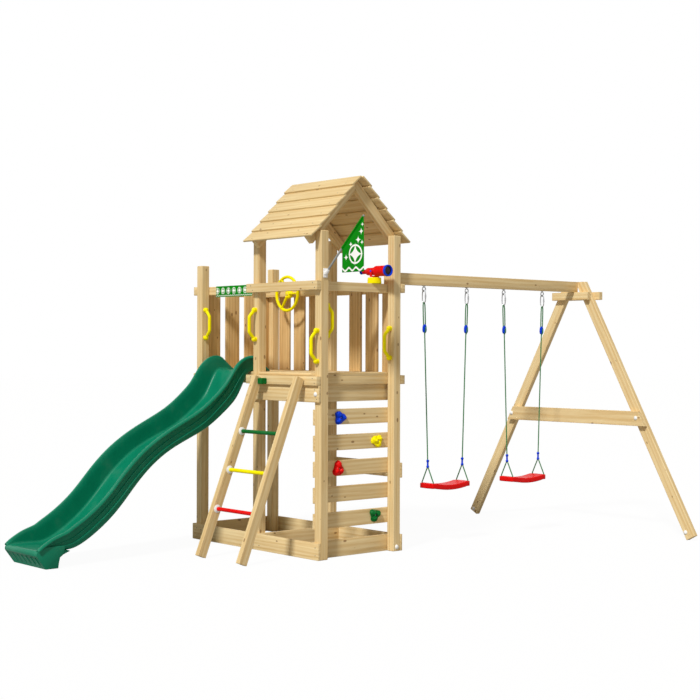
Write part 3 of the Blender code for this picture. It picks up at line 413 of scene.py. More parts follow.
# Pine in the slats' darker, warmer colours, which paint the shade and bounce light under the roof onto them
def slat_pine_painted_shade():
    t = bpy.context.scene.timber_settings
    return planed_pine("planed_slat_pine", GRAIN["Z"], t.slat_light_painted_shade, t.slat_dark_painted_shade)


# Pine in the roof's darker colours, which paint shade onto the slopes that face the key lamp
def roof_pine_painted_shade():
    t = bpy.context.scene.timber_settings
    return planed_pine("planed_roof_pine", GRAIN["X"], t.roof_light_painted_shade, t.roof_dark_painted_shade, 0.8)


# Name, roughness, wear and shine of the plastics that aren't plain ABS
PLASTICS = {"slide": ("rotomoulded_polyethylene_green", 0.33, 0.03, 0.20),
            "white": ("moulded_nylon_white", 0.4, 0.0, 0.10)}


def plastic(which):
    name, *finish = PLASTICS.get(which, ("moulded_abs_" + which, 0.38, 0.02, 0.10))
    return moulded(name, getattr(bpy.context.scene.plastic_settings, which), *finish)


# ---- modelling helpers ----------------------------------------------------

def piece(name, bm, mat, body="tower", stands_for=(), sharp=40, fix=True):
    """A finished piece from a bmesh: placed, smoothed, and riding on its body."""
    if fix:
        bmesh.ops.remove_doubles(bm, verts=bm.verts, dist=0.00002)
        bmesh.ops.recalc_face_normals(bm, faces=bm.faces)
    mesh = bpy.data.meshes.new(name)
    bm.to_mesh(mesh)
    bm.free()
    mesh.shade_smooth()
    mesh.set_sharp_from_angle(angle=math.radians(sharp))
    ob = bpy.data.objects.new(name, mesh)
    bpy.context.scene.collection.objects.link(ob)
    mesh.materials.append(mat)
    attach(ob, body)
    if stands_for:
        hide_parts(*stands_for)
    return ob


def round_edges(bm, edges, radius, segments=2):
    return bmesh.ops.bevel(bm, geom=list(edges), offset=radius, segments=segments, profile=0.5,
                           affect="EDGES", material=-1)


def add_board(bm, low, high, turn=None, edge=None):
    """A board with rounded edges between two corners, turned about its middle if asked."""
    edge = bpy.context.scene.timber_settings.edge if edge is None else edge
    low, high = Vector(low), Vector(high)
    size = high - low
    made = bmesh.ops.create_cube(bm, size=1.0)
    bmesh.ops.scale(bm, vec=size, verts=made["verts"])
    out = round_edges(bm, {e for v in made["verts"] for e in v.link_edges}, min(edge, min(size) * 0.3))
    verts = list({v for f in out["faces"] for v in f.verts} | {v for v in made["verts"] if v.is_valid})
    if turn:
        bmesh.ops.rotate(bm, cent=(0, 0, 0), matrix=turn, verts=verts)
    bmesh.ops.translate(bm, vec=CORNER + (low + high) / 2, verts=verts)


def board(name, node, x, y, z, way, mat=None):
    """A board of a node, from its reach in x, y and z and the way of its grain."""
    bm = bmesh.new()
    add_board(bm, *zip(x, y, z))
    piece(name, bm, mat or pine(way), "tower", (node,), 50)


def add_prism(bm, outline, way):
    """A flat outline drawn out along a vector; gives the corners of its far end."""
    face = bm.faces.new([bm.verts.new(point) for point in outline])
    out = bmesh.ops.extrude_face_region(bm, geom=[face])
    verts = [g for g in out["geom"] if isinstance(g, bmesh.types.BMVert)]
    bmesh.ops.translate(bm, vec=way, verts=verts)
    return verts


def frames(path, closed=False):
    """Directions along a path, carried without twist."""
    n = len(path)
    out = []
    normal = None
    for i in range(n):
        if closed:
            run = path[(i + 1) % n] - path[i - 1]
        else:
            run = path[min(i + 1, n - 1)] - path[max(i - 1, 0)]
        run.normalize()
        if normal is None:
            side = Vector((0, 0, 1)) if abs(run.z) < 0.9 else Vector((0, 1, 0))
            normal = run.cross(side).normalized()
        else:
            normal = (normal - run * normal.dot(run)).normalized()
        turn = Matrix((normal, run.cross(normal), run)).transposed().to_4x4()
        out.append(Matrix.Translation(path[i]) @ turn)
    return out


def sweep(bm, path, radius, sides=16, closed=False, flat=1.0):
    """A round section drawn along a path by extruding a circle; radius may be a list."""
    path = [Vector(p) for p in path]
    places = frames(path, closed)
    radii = radius if isinstance(radius, (list, tuple)) else [radius] * len(path)

    def shaped(i):
        return places[i] @ Matrix.Diagonal((radii[i], radii[i] * flat, radii[i], 1.0))

    ring = bmesh.ops.create_circle(bm, cap_ends=False, segments=sides, radius=1.0, matrix=shaped(0))
    edges = list({e for v in ring["verts"] for e in v.link_edges})
    first = list(edges)
    for i in range(1, len(path)):
        out = bmesh.ops.extrude_edge_only(bm, edges=edges)
        verts = [g for g in out["geom"] if isinstance(g, bmesh.types.BMVert)]
        edges = [g for g in out["geom"] if isinstance(g, bmesh.types.BMEdge)
                 and all(v in verts for v in g.verts)]
        bmesh.ops.transform(bm, matrix=shaped(i) @ shaped(i - 1).inverted(), verts=verts)
    if closed:
        bmesh.ops.bridge_loops(bm, edges=edges + first)
    else:
        bmesh.ops.contextual_create(bm, geom=first)
        bmesh.ops.contextual_create(bm, geom=edges)


def facing(point, direction):
    """A placement at the point with Z along the direction."""
    return Matrix.Translation(point) @ Vector(direction).to_track_quat("Z", "Y").to_matrix().to_4x4()


def lathe(profile, steps):
    """A profile of radii and heights turned about Z."""
    bm = bmesh.new()
    verts = [bm.verts.new((r, 0.0, h)) for r, h in profile]
    edges = [bm.edges.new((a, b)) for a, b in zip(verts, verts[1:])]
    bmesh.ops.spin(bm, geom=verts + edges, cent=(0, 0, 0), axis=(0, 0, 1), dvec=(0, 0, 0),
                   angle=2 * math.pi, steps=steps, use_merge=True)
    return bm


def turned_piece(name, profile, place, mat, body, stands_for, steps):
    bm = lathe(profile, steps)
    bmesh.ops.transform(bm, matrix=place, verts=bm.verts)
    piece(name, bm, mat, body, stands_for, 35)


def add_turned(bm, profile, place, steps):
    """A turned shape added to a bmesh that already holds others."""
    part = lathe(profile, steps)
    bmesh.ops.remove_doubles(part, verts=part.verts, dist=0.00001)
    bmesh.ops.transform(part, matrix=place, verts=part.verts)
    mesh = bpy.data.meshes.new("part")
    part.to_mesh(mesh)
    part.free()
    bm.from_mesh(mesh)
    bpy.data.meshes.remove(mesh)


def circle(steps):
    """Cosine and sine at even steps of a whole turn."""
    return [(math.cos(2 * math.pi * i / steps), math.sin(2 * math.pi * i / steps)) for i in range(steps)]


def squared(c, power):
    """A cosine or sine raised to a power with its sign kept, which squares a circle off."""
    return math.copysign(abs(c) ** power, c)


def smooth_line(stations, steps):
    """Points of a smooth curve through the stations, in two or three dimensions."""
    out = []
    for i in range(len(stations) - 1):
        p0, p1 = Vector(stations[max(i - 1, 0)]), Vector(stations[i])
        p2, p3 = Vector(stations[i + 1]), Vector(stations[min(i + 2, len(stations) - 1)])
        for j in range(steps):
            t = j / steps
            out.append(0.5 * (2 * p1 + (p2 - p0) * t + (2 * p0 - 5 * p1 + 4 * p2 - p3) * t * t
                              + (3 * p1 - p0 - 3 * p2 + p3) * t ** 3))
    out.append(Vector(stations[-1]))
    return out


def paint(mat, *nodes):
    """Gives carried-over solids their finish."""
    for name in nodes:
        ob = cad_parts[name]
        ob.data.materials.clear()
        ob.data.materials.append(mat)


# ---- operators ------------------------------------------------------------

class TOWER_OT_timber(bpy.types.Operator):
    """Finish the posts, rails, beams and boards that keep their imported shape"""
    bl_idname = "tower.timber"
    bl_label = "Posts and rails"

    def execute(self, context):
        paint(pine("Z"), *["post_%s_%s" % (a, b) for a in ("front", "back")
                           for b in ("right", "middle", "left")])
        paint(pine("X"), "front_top_rail", "slide_top_rail", "slide_platform_rail", "wheel_rail",
              "back_brace_board", "swing_head_block_front", "swing_head_block_back", "swing_crossbar")
        paint(pine("Y"), "climb_top_rail", *["climbing_board_%d" % i for i in range(1, 6)])
        low, high = span("ladder_rail_right")
        lean = (0.0, high.y - low.y - 0.07, high.z - low.z - 0.03)
        paint(pine(("leaning_ladder", grain_along(lean))), "ladder_rail_left", "ladder_rail_right")
        for side, node in ((1, "swing_leg_right"), (-1, "swing_leg_left")):
            paint(pine(("leaning_" + node, grain_along((-side * 0.5456, 0.0, 1.0)))), node)
        for node in ("gable_rafters_right", "gable_rafters_left"):
            self.rafters(node)
        return {"FINISHED"}

    def rafters(self, node):
        """Two rafters, halved at the ridge, each with its own grain."""
        deep = 0.07
        low, high = span(node)
        apex = (low.y + high.y) / 2
        long = (high.y - low.y) / 2 / ROOT
        for word, side in (("front", -1), ("back", 1)):
            tail = (apex + side * long * ROOT, high.z - long * ROOT)
            inner = (tail[0] - side * deep * ROOT, tail[1] - deep * ROOT)
            outline = [(apex + side * GAP, high.z), tail, inner, (apex + side * GAP, high.z - deep / ROOT)]
            bm = bmesh.new()
            add_prism(bm, [at(low.x, y, z) for y, z in outline], (high.x - low.x, 0, 0))
            round_edges(bm, bm.edges, 0.0025)
            mat = pine(("rafter_" + word, grain_along((0.0, side, -1.0))))
            piece(node + "_" + word, bm, mat, "tower", (node,), 50)


class TOWER_OT_boards(bpy.types.Operator):
    """Build the boards of the platform, the fences, the deck and the sandbox one by one"""
    bl_idname = "tower.boards"
    bl_label = "Boards"

    def execute(self, context):
        for word, way in (("front", "X"), ("climb", "Y")):
            node = word + "_platform_beam"
            low, high = span(node)
            x, y = (low.x, high.x), (low.y, high.y)
            board(word + "_platform_rail", node, x, y, (high.z - RAIL_DEEP + GAP, high.z), way)
            if way == "X":
                x, y = (low.x + 0.035, high.x), (high.y - THIN, high.y)
            else:
                x = (low.x, low.x + THIN)
            board(word + "_bearer", node, x, y, (low.z, high.z - RAIL_DEEP), way)

        low, high = span("back_fence")
        self.fence("back_fence", "X", ((low.x, 0.0), (0.8226, high.y)),
                   [(x, (low.y, 0.8220)) for x in BACK_SLATS])
        low, high = span("left_fence")
        self.fence("left_fence", "Y", ((low.x, -1.6256), (low.y, high.y)),
                   [((LEFT_X, high.x), y) for y in LEFT_SLATS])
        self.deck()

        node = "sandbox_frame"
        low, high = span(node)
        x, z = (low.x, high.x), (low.z, high.z)
        board("sand_front", node, x, (low.y, low.y + THIN), z, "X")
        board("sand_back", node, x, (high.y - THIN, high.y), z, "X")
        for word, x in (("left", low.x), ("middle", -0.7697), ("right", -0.0973)):
            board("sand_" + word, node, (x, x + THIN), (low.y + THIN + GAP, high.y - THIN - GAP), z, "Y")
        return {"FINISHED"}

    def fence(self, node, way, rail, slats):
        """Two rails and their upright slats."""
        for i, z in enumerate((TOP_RAIL_Z, PLATFORM_RAIL_Z)):
            board("%s_rail_%d" % (node, i), node, *rail, z, way)
        for i, (x, y) in enumerate(slats):
            board("%s_slat_%d" % (node, i), node, x, y, SLAT_Z, "Z", slat_pine_painted_shade())

    def deck(self):
        """Boards cut round the posts, an edge strip, and joists under them."""
        node = "deck"
        low, high = span(node)
        z = (high.z - DECK, high.z)
        first, gap, end = POST + 2 * GAP, 0.006, high.y
        pitch = (end - first + gap) / 7
        stop = STRIP_X - GAP
        board("deck_board_0", node, (-0.7690, stop), (GAP, first - gap), z, "X")
        for i in range(6):
            y = first + i * pitch
            board("deck_board_%d" % (i + 1), node, (low.x, stop), (y, y + pitch - gap), z, "X")
        y = (first + 6 * pitch, end)
        board("deck_board_7", node, (-1.5495, -0.8455), y, z, "X")
        board("deck_board_8", node, (-0.7695, stop), y, z, "X")
        board("deck_edge_strip", node, (STRIP_X, high.x), (GAP, end), z, "Y")
        for i, share in enumerate((0.27, 0.67)):
            for word, x, y in (("right", MIDDLE_X + POST + share * (-MIDDLE_X - 2 * POST), 2 * GAP),
                               ("left", LEFT_X + POST + share * (MIDDLE_X - LEFT_X - POST), 0.121)):
                board("joist_%s_%d" % (word, i), node, (x, x + RAIL), (y, end - 0.002),
                      (low.z, z[0] - GAP), "Y")


class TOWER_OT_roof(bpy.types.Operator):
    """Lay the lapped boards of both roof slopes"""
    bl_idname = "tower.roof"
    bl_label = "Roof boards"

    def execute(self, context):
        thick, under, ridge_gap = 0.0148, 0.016, 0.0025
        tilt = math.atan2(ROOF_LAP, ROOF_STEP)
        for node, side in SLOPES:
            low, high = span(node)
            turn = Matrix.Rotation(-side * (math.pi / 4 - tilt), 3, "X")
            for i in range(6):
                # Every board but the first starts under the one above it
                start = i * ROOF_STEP - (under if i else -ridge_gap)
                stop = (i + 1) * ROOF_STEP
                down = (start + stop) / 2
                out = ROOF_SHEET + ROOF_LAP * (down - i * ROOF_STEP) / ROOF_STEP - thick / 2 - GAP
                mid = Vector(((low.x + high.x) / 2, *on_slope(node, side, down, out)))
                half = Vector(((high.x - low.x) / 2 - 0.0005 * (i % 2), (stop - start) / math.cos(tilt) / 2,
                               thick / 2))
                bm = bmesh.new()
                add_board(bm, mid - half, mid + half, turn, 0.0025)
                piece("%s_board_%d" % (node, i + 1), bm, roof_pine_painted_shade(), "tower", (node,), 50)
        return {"FINISHED"}


class TOWER_OT_slide(bpy.types.Operator):
    """Mould the wave slide with its rolled lips and ribbed foot"""
    bl_idname = "tower.slide"
    bl_label = "Wave slide"

    def execute(self, context):
        _, deck = span("deck")
        # Run from the post, share of the deck's height, and height of the walls
        stations = (
            (-0.160, 1.000, 0.006), (-0.120, 1.000, 0.035), (-0.080, 1.000, 0.069), (-0.035, 1.000, 0.105),
            (0.000, 1.000, 0.126), (0.035, 0.980, 0.148), (0.075, 0.929, 0.160), (0.120, 0.869, 0.171),
            (0.175, 0.818, 0.175), (0.310, 0.742, 0.168), (0.440, 0.678, 0.167), (0.620, 0.624, 0.155),
            (0.810, 0.560, 0.150), (0.967, 0.476, 0.157), (1.090, 0.388, 0.161), (1.210, 0.289, 0.163),
            (1.330, 0.210, 0.163), (1.475, 0.137, 0.162), (1.620, 0.085, 0.156), (1.735, 0.090, 0.118),
            (1.825, 0.088, 0.080), (1.885, 0.0900, 0.045), (1.924, 0.0905, 0.010))
        top = deck.z + 2 * GAP
        line = smooth_line([(POST - run, share * top, wall) for run, share, wall in stations], 4)
        for _ in range(6):
            evened = [(a + b * 2 + c) / 4 for a, b, c in zip(line, line[1:], line[2:])]
            line = [line[0], *evened, line[-1]]
        mid_x, half = -1.188, 0.2495
        rows = len(line)

        def raised(x, j, height):
            """A point over the bed's line, square to it."""
            ahead, behind = line[min(j + 1, rows - 1)], line[max(j - 1, 0)]
            run = Vector((ahead.x - behind.x, ahead.y - behind.y)).normalized()
            return at(mid_x + x, line[j].x + run.y * height, line[j].y - run.x * height)

        def section(wall):
            """Half of the bed with its wall and rolled lip, then the other half mirrored."""
            inner = half - 0.014
            low_r = min(0.030, wall * 0.45)
            row = [(half - 0.001, max(wall - 0.016, 0.004)), (half, max(wall - 0.010, 0.005)),
                   (half - 0.0006, wall - 0.003), (half - 0.004, wall), (half - 0.007, wall + 0.0006),
                   (inner, wall - 0.0008), (inner - 0.0018, wall - 0.005)]
            row += [(inner - 0.002 - 0.004 * t, wall + (low_r - wall) * t) for t in (0.35, 0.7)]
            for a in range(0, 91, 18):
                c = math.radians(a)
                row.append((inner - 0.006 - low_r * (1 - math.cos(c)), low_r * (1 - math.sin(c))))
            row += [(row[-1][0] * t, 0.0) for t in (0.66, 0.33)]
            return row + [(0.0, 0.0)] + [(-x, h) for x, h in reversed(row)]

        cols = len(section(0.1))
        bm = bmesh.new()
        bmesh.ops.create_grid(bm, x_segments=cols - 1, y_segments=rows - 1, size=0.5)
        for v in bm.verts:
            j = round((v.co.y + 0.5) * (rows - 1))
            x, h = section(line[j].z)[round((v.co.x + 0.5) * (cols - 1))]
            v.co = raised(x, j, h)
        green = plastic("slide")
        channel = piece("slide_channel", bm, green, "tower", ("slide",), 50, fix=False)
        sheet = channel.modifiers.new("sheet", "SOLIDIFY")
        sheet.thickness = 0.0072
        sheet.offset = 1.0

        # The toe of the slide, as run and height, is the same in its foot and in both flanks
        toe = [(1.724, 0.0892), (1.742, 0.0778), (1.750, 0.0446), (1.757, 0.0), (1.857, 0.0),
               (1.930, 0.0975), (1.9325, 0.1050), (1.9330, 0.1125), (1.9320, 0.1200), (1.9290, 0.1275)]
        foot = bmesh.new()
        self.foot(foot, mid_x, half - 0.012, toe)
        self.flanks(foot, mid_x, half - 0.0135, toe)
        piece("slide_foot", foot, green, "tower", ("slide",), 40)

        # Two thin beads flow along the outer face of each wall, at shares of its height
        beads = bmesh.new()
        first, last = 18, rows - 9
        for flank in (-1, 1):
            for shares in ((0.60, 0.72, 0.70, 0.60, 0.56, 0.58, 0.60, 0.52, 0.42),
                           (0.36, 0.44, 0.44, 0.34, 0.30, 0.33, 0.36, 0.30, 0.24)):
                flow = smooth_line(list(enumerate(shares)), 12)
                path = []
                for j in range(first, last + 1):
                    t = (j - first) / (last - first) * (len(flow) - 1)
                    share = flow[int(t)].lerp(flow[min(int(t) + 1, len(flow) - 1)], t % 1).y
                    out = half - 0.0100 - 0.004 * (1 - share)
                    path.append(raised(flank * out, j, line[j].z * share))
                path = smooth_line(path, 2)
                swell = [math.sin(math.pi * (k + 0.7) / (len(path) + 0.4)) ** 0.4 for k in range(len(path))]
                sweep(beads, path, [0.0034 * s for s in swell], 10)
        piece("slide_wall_beads", beads, green, "tower", ("slide",), 60)
        return {"FINISHED"}

    def foot(self, bm, mid_x, side, toe):
        """The block under the slide's end, with a sunk panel and ribs in its leaning front."""
        run_z = [(1.655, 0.1165), (1.690, 0.1030), *toe, (1.924, 0.133), (1.918, 0.1365), (1.910, 0.137),
                 (1.900, 0.135), (1.825, 0.1275), (1.735, 0.130), (1.665, 0.1215)]
        add_prism(bm, [at(mid_x - side, POST - run, z) for run, z in run_z], (2 * side, 0, 0))
        bmesh.ops.recalc_face_normals(bm, faces=bm.faces)
        round_edges(bm, {e for f in bm.faces if abs(f.normal.x) > 0.9 for e in f.edges}, 0.007, 3)
        front = max(bm.faces, key=lambda f: -f.normal.y * f.calc_area())
        bmesh.ops.inset_individual(bm, faces=[front], thickness=0.014, use_even_offset=True)
        bmesh.ops.translate(bm, vec=front.normal * -0.007, verts=front.verts)
        lean = Matrix.Rotation(math.atan2(0.073, 0.0975), 3, "X")
        ribs, inset, half = 6, 0.070, 0.007
        for i in range(ribs):
            x = mid_x - side + inset + i * (2 * side - 2 * inset) / (ribs - 1)
            add_board(bm, (x - half, -1.8160, 0.016), (x + half, -1.8085, 0.088), lean, 0.004)

    def flanks(self, bm, mid_x, side, toe):
        """The flat cheeks that close the walls' ends down to the floor."""
        run_z = [(1.712, 0.1050), *toe, (1.9240, 0.1340), (1.9130, 0.1440), (1.8950, 0.1540),
                 (1.8500, 0.1600), (1.7700, 0.1620), (1.7150, 0.1600), (1.7000, 0.1500)]
        for flank in (-1, 1):
            outline = [at(mid_x + flank * side, POST - run, z) for run, z in run_z]
            verts = add_prism(bm, outline, (flank * 0.0065, 0, 0))
            round_edges(bm, {e for v in verts for e in v.link_edges if e.other_vert(v) in verts}, 0.003)
        bmesh.ops.recalc_face_normals(bm, faces=bm.faces)


class TOWER_OT_holds(bpy.types.Operator):
    """Cast the four climbing holds with their bolts"""
    bl_idname = "tower.holds"
    bl_label = "Climbing holds"

    def execute(self, context):
        bolt = [(0.0, 0.005), (0.0025, 0.0045), (0.003, 0.002), (0.0085, 0.002), (0.0095, 0.0),
                (0.0095, -0.004), (0.0, -0.004)]
        bolts = bmesh.new()
        for which, word in enumerate(("blue", "yellow", "red", "green")):
            node = "hold_" + word
            low, high = span(node)
            mid = (low + high) / 2
            size = high - low
            bm = bmesh.new()
            bmesh.ops.create_icosphere(bm, subdivisions=5, radius=1.0)
            for v in bm.verts:
                self.cast(v, which, size)
            across = max(abs(v.co.y) for v in bm.verts) * 2 / size.y
            upright = max(abs(v.co.z) for v in bm.verts) * 2 / size.z
            bmesh.ops.scale(bm, vec=(1.0, 1.0 / across, 1.0 / upright), verts=bm.verts)
            place = CORNER + Vector((low.x + size.x * 0.05, mid.y, mid.z))
            bmesh.ops.translate(bm, vec=place, verts=bm.verts)
            piece(node + "_cast", bm, plastic(word), "tower", (node,), 60)
            add_turned(bolts, bolt, facing(at(low.x + size.x * 0.30, mid.y, mid.z), (1, 0, 0)), 20)
        piece("hold_bolts", bolts, zinc_plated(), "tower")
        return {"FINISHED"}

    def cast(self, v, which, size):
        """Draws a ball's point out into three lobes, with lumps, a dish for the bolt and a grip."""
        d = v.co.normalized()
        turn = math.atan2(d.z, d.y) + which * 1.3
        rim = math.hypot(d.y, d.z)
        lobe = math.cos(3 * turn) * rim
        lump = noise.noise(d * 1.6 + Vector((which * 3.7, 1.1, 0.3))) * 0.16
        lump += noise.noise(d * 3.8 + Vector((which * 1.9, 5.2, 2.3))) * 0.08
        r = 0.93 + lump + 0.15 * lobe
        swell = 1.0 + 0.30 * lobe * max(d.x, 0.0)
        dish = 0.62 * math.exp(-(d.y ** 2 + d.z ** 2) * 14.0) if d.x > 0 else 0.0
        grip = 0.16 * math.exp(-((rim - 0.62) ** 2) * 40.0) * max(math.cos(3 * turn + 2.4), 0.0)
        v.co = Vector((max(d.x * r * swell - dish - grip, -0.05) * size.x * 0.80, d.y * r * size.y * 0.50,
                       d.z * r * size.z * 0.50))


class TOWER_OT_ladder(bpy.types.Operator):
    """Finish the rungs and add the flanges that hold them"""
    bl_idname = "tower.ladder"
    bl_label = "Ladder rungs"

    def execute(self, context):
        flanges = bmesh.new()
        for number, word in enumerate(("red", "yellow", "green"), 1):
            node = "ladder_rung_%d" % number
            low, high = span(node)
            mid = (low + high) / 2
            r, long = (high.z - low.z) / 2, high.x - low.x
            edge, groove, slack = 0.0015, 0.0008, 0.0002
            grip = [(0.0, 0.0), (r - edge, 0.0), (r, edge)]
            for middle in (long * 0.30, long * 0.50, long * 0.70):
                grip += [(r, middle - 0.004), (r - groove, middle - 0.003), (r - groove, middle + 0.003),
                         (r, middle + 0.004)]
            grip += [(r, long - edge), (r - edge, long), (0.0, long)]
            turned_piece(node + "_grip", grip, facing(at(low.x, mid.y, mid.z), (1, 0, 0)), plastic(word),
                         "tower", (node,), 32)
            flange = [(slack, 0.010), (0.004, 0.0098), (0.010, 0.006), (0.016, 0.003), (0.017, 0.0005),
                      (0.017, 0.0), (slack, 0.0), (slack, 0.010)]
            for x, way in ((low.x, 1), (high.x, -1)):
                add_turned(flanges, [(r + out, h) for out, h in flange],
                           facing(at(x + way * slack, mid.y, mid.z), (way, 0, 0)), 32)
        piece("rung_flanges", flanges, plastic("white"), "tower")
        return {"FINISHED"}


class TOWER_OT_handles(bpy.types.Operator):
    """Mould the five grab handles"""
    bl_idname = "tower.handles"
    bl_label = "Grab handles"

    def execute(self, context):
        tube, ball = 0.0135, 0.0205
        foot = [(0.0, 0.0395)] + [(ball * math.sin(a), 0.0190 + ball * math.cos(a))
                                  for a in (0.35, 0.7, 1.05, 1.4, 1.75, 2.1)]
        foot += [(0.0165, 0.006), (0.0185, 0.003), (0.0185, 0.0003), (0.0, 0.0003)]
        for node, out in (("handle_slide_left", (1, 0, 0)), ("handle_slide_right", (0, -1, 0)),
                          ("handle_ladder", (0, -1, 0)), ("handle_climb_front", (0, 1, 0)),
                          ("handle_climb_back", (0, -1, 0))):
            low, high = span(node)
            out = Vector(out)
            depth = abs((high - low).dot(out))
            face = (low + high) / 2 - out * depth / 2
            half = (high.z - low.z) / 2 - ball
            reach = depth - tube
            # Distance from the face, and height, from the lower foot up to the middle and on
            stations = [(0.016, -half + 0.002), (0.034, -half + 0.020), (reach - 0.004, -half + 0.052),
                        (reach, -half + 0.072), (reach, -0.02)]
            stations += [(a, -b) for a, b in reversed(stations)]
            path = [CORNER + (face + out * a + Vector((0, 0, b))) for a, b in smooth_line(stations, 4)]
            bm = bmesh.new()
            sweep(bm, path, tube, 20)
            for end in (-1, 1):
                add_turned(bm, foot, facing(CORNER + (face + Vector((0, 0, end * half))), out), 28)
            piece(node + "_bow", bm, plastic("yellow"), "tower", (node,), 45)
        return {"FINISHED"}


class TOWER_OT_wheel(bpy.types.Operator):
    """Mould the steering wheel and the cap of its bolt"""
    bl_idname = "tower.wheel"
    bl_label = "Steering wheel"

    def execute(self, context):
        low, high = span("steering_wheel")
        mid = (low + high) / 2
        tube = 0.013
        radius = (high.x - low.x) / 2 - tube
        rim_y = low.y + tube
        bm = bmesh.new()
        rim = [at(mid.x + c * radius, rim_y, mid.z + s * radius) for c, s in circle(96)]
        sweep(bm, rim, tube, 18, closed=True)
        # Three flat spokes lead from the hub to the rim, and narrow towards it
        stations = [(0.028, rim_y + 0.012), (0.055, rim_y + 0.010), (0.095, rim_y + 0.005), (radius, rim_y)]
        for c, s in circle(3):
            line = [at(mid.x + c * r, y, mid.z + s * r) for r, y in smooth_line(stations, 5)]
            widths = [0.0185 - 0.0055 * i / (len(line) - 1) for i in range(len(line))]
            sweep(bm, line, widths, 16, flat=0.55)
        hub = [(0.0072, 0.0300), (0.020, 0.0300), (0.032, 0.027), (0.0392, 0.020), (0.041, 0.012),
               (0.041, 0.002), (0.039, 0.0), (0.0072, 0.0), (0.0072, 0.0300)]
        add_turned(bm, hub, facing(at(mid.x, high.y, mid.z), (0, -1, 0)), 48)
        piece("steering_wheel_moulded", bm, plastic("yellow"), "steering_wheel", ("steering_wheel",),
              50)
        rail, _ = span("wheel_rail")
        cap = [(0.0, 0.0085), (0.006, 0.0080), (0.011, 0.0062), (0.0135, 0.003), (0.0138, 0.0003),
               (0.0, 0.0003)]
        turned_piece("wheel_bolt_cap", cap, facing(at(mid.x, rail.y + 0.0060, mid.z), (0, -1, 0)),
                     plastic("yellow"), "tower", (), 36)
        return {"FINISHED"}


class TOWER_OT_telescope(bpy.types.Operator):
    """Mould the telescope: base, fork, stepped tube, front ring, lens and eyepiece"""
    bl_idname = "tower.telescope"
    bl_label = "Telescope"

    def execute(self, context):
        low, high = span("telescope_base")
        mid = (low + high) / 2
        r, h = (high.x - low.x) / 2, high.z - low.z
        shares = [(0.0, 1.0), (0.86, 1.0), (0.90, 0.985), (0.935, 0.95), (0.945, 0.90), (0.975, 0.40),
                  (0.998, 0.06), (0.99, 0.0), (0.0, 0.0)]
        turned_piece("telescope_base_moulded", [(r * across, h * up) for across, up in shares],
                     Matrix.Translation(at(mid.x, mid.y, low.z)), plastic("yellow"), "tower",
                     ("telescope_base",), 56)
        paint(plastic("red"), "telescope_yoke")
        _, yoke = span("telescope_yoke")
        pins = bmesh.new()
        for side in (-1, 1):
            add_turned(pins, [(0.0, 0.0035), (0.006, 0.003), (0.0085, 0.001), (0.0085, 0.0), (0.0, 0.0)],
                       facing(at(mid.x, mid.y + side * 0.0415, yoke.z - 0.010), (0, side, 0)), 24)
        piece("telescope_pivot_caps", pins, plastic("blue"), "telescope_tube")

        # Radii, and distances from the eye's end of the tube
        barrel = [(0.0, 0.028), (0.0175, 0.028), (0.018, 0.031), (0.018, 0.082), (0.022, 0.0828),
                  (0.0285, 0.083), (0.0295, 0.085), (0.0295, 0.150), (0.0310, 0.151), (0.0310, 0.156),
                  (0.0295, 0.157), (0.0295, 0.178), (0.036, 0.1795), (0.0405, 0.180), (0.0415, 0.182),
                  (0.0415, 0.204), (0.0405, 0.205), (0.0405, 0.209), (0.0415, 0.210), (0.0415, 0.302),
                  (0.040, 0.304), (0.0, 0.304)]
        ring = [(0.0345, 0.3125), (0.0355, 0.3220), (0.0380, 0.324), (0.0435, 0.324), (0.0455, 0.3215),
                (0.0455, 0.3055), (0.0445, 0.3045), (0.0345, 0.3045), (0.0345, 0.3125)]
        eye = [(0.0, 0.0305), (0.0185, 0.0305), (0.0185, 0.027), (0.0165, 0.024), (0.017, 0.014),
               (0.020, 0.008), (0.020, 0.003), (0.017, 0.0), (0.0125, 0.0), (0.009, 0.004), (0.0, 0.004)]
        lens = [(0.0, 0.3145), (0.018, 0.3138), (0.0343, 0.3118), (0.0343, 0.3045), (0.0, 0.3045)]
        node = "telescope_tube"
        low, high = span(node)
        mid = (low + high) / 2
        place = facing(at(low.x, mid.y, mid.z), (1, 0, 0))
        for word, profile, mat, slot, steps in (
                ("barrel", barrel, plastic("red"), "red", 56), ("ring", ring, plastic("blue"), "blue", 56),
                ("eyepiece", eye, plastic("blue"), "blue", 40),
                ("lens", lens, dark_lens("smoked_acrylic"), "red", 48)):
            turned_piece("telescope_" + word, profile, place, mat, node, (node,), steps)
        return {"FINISHED"}


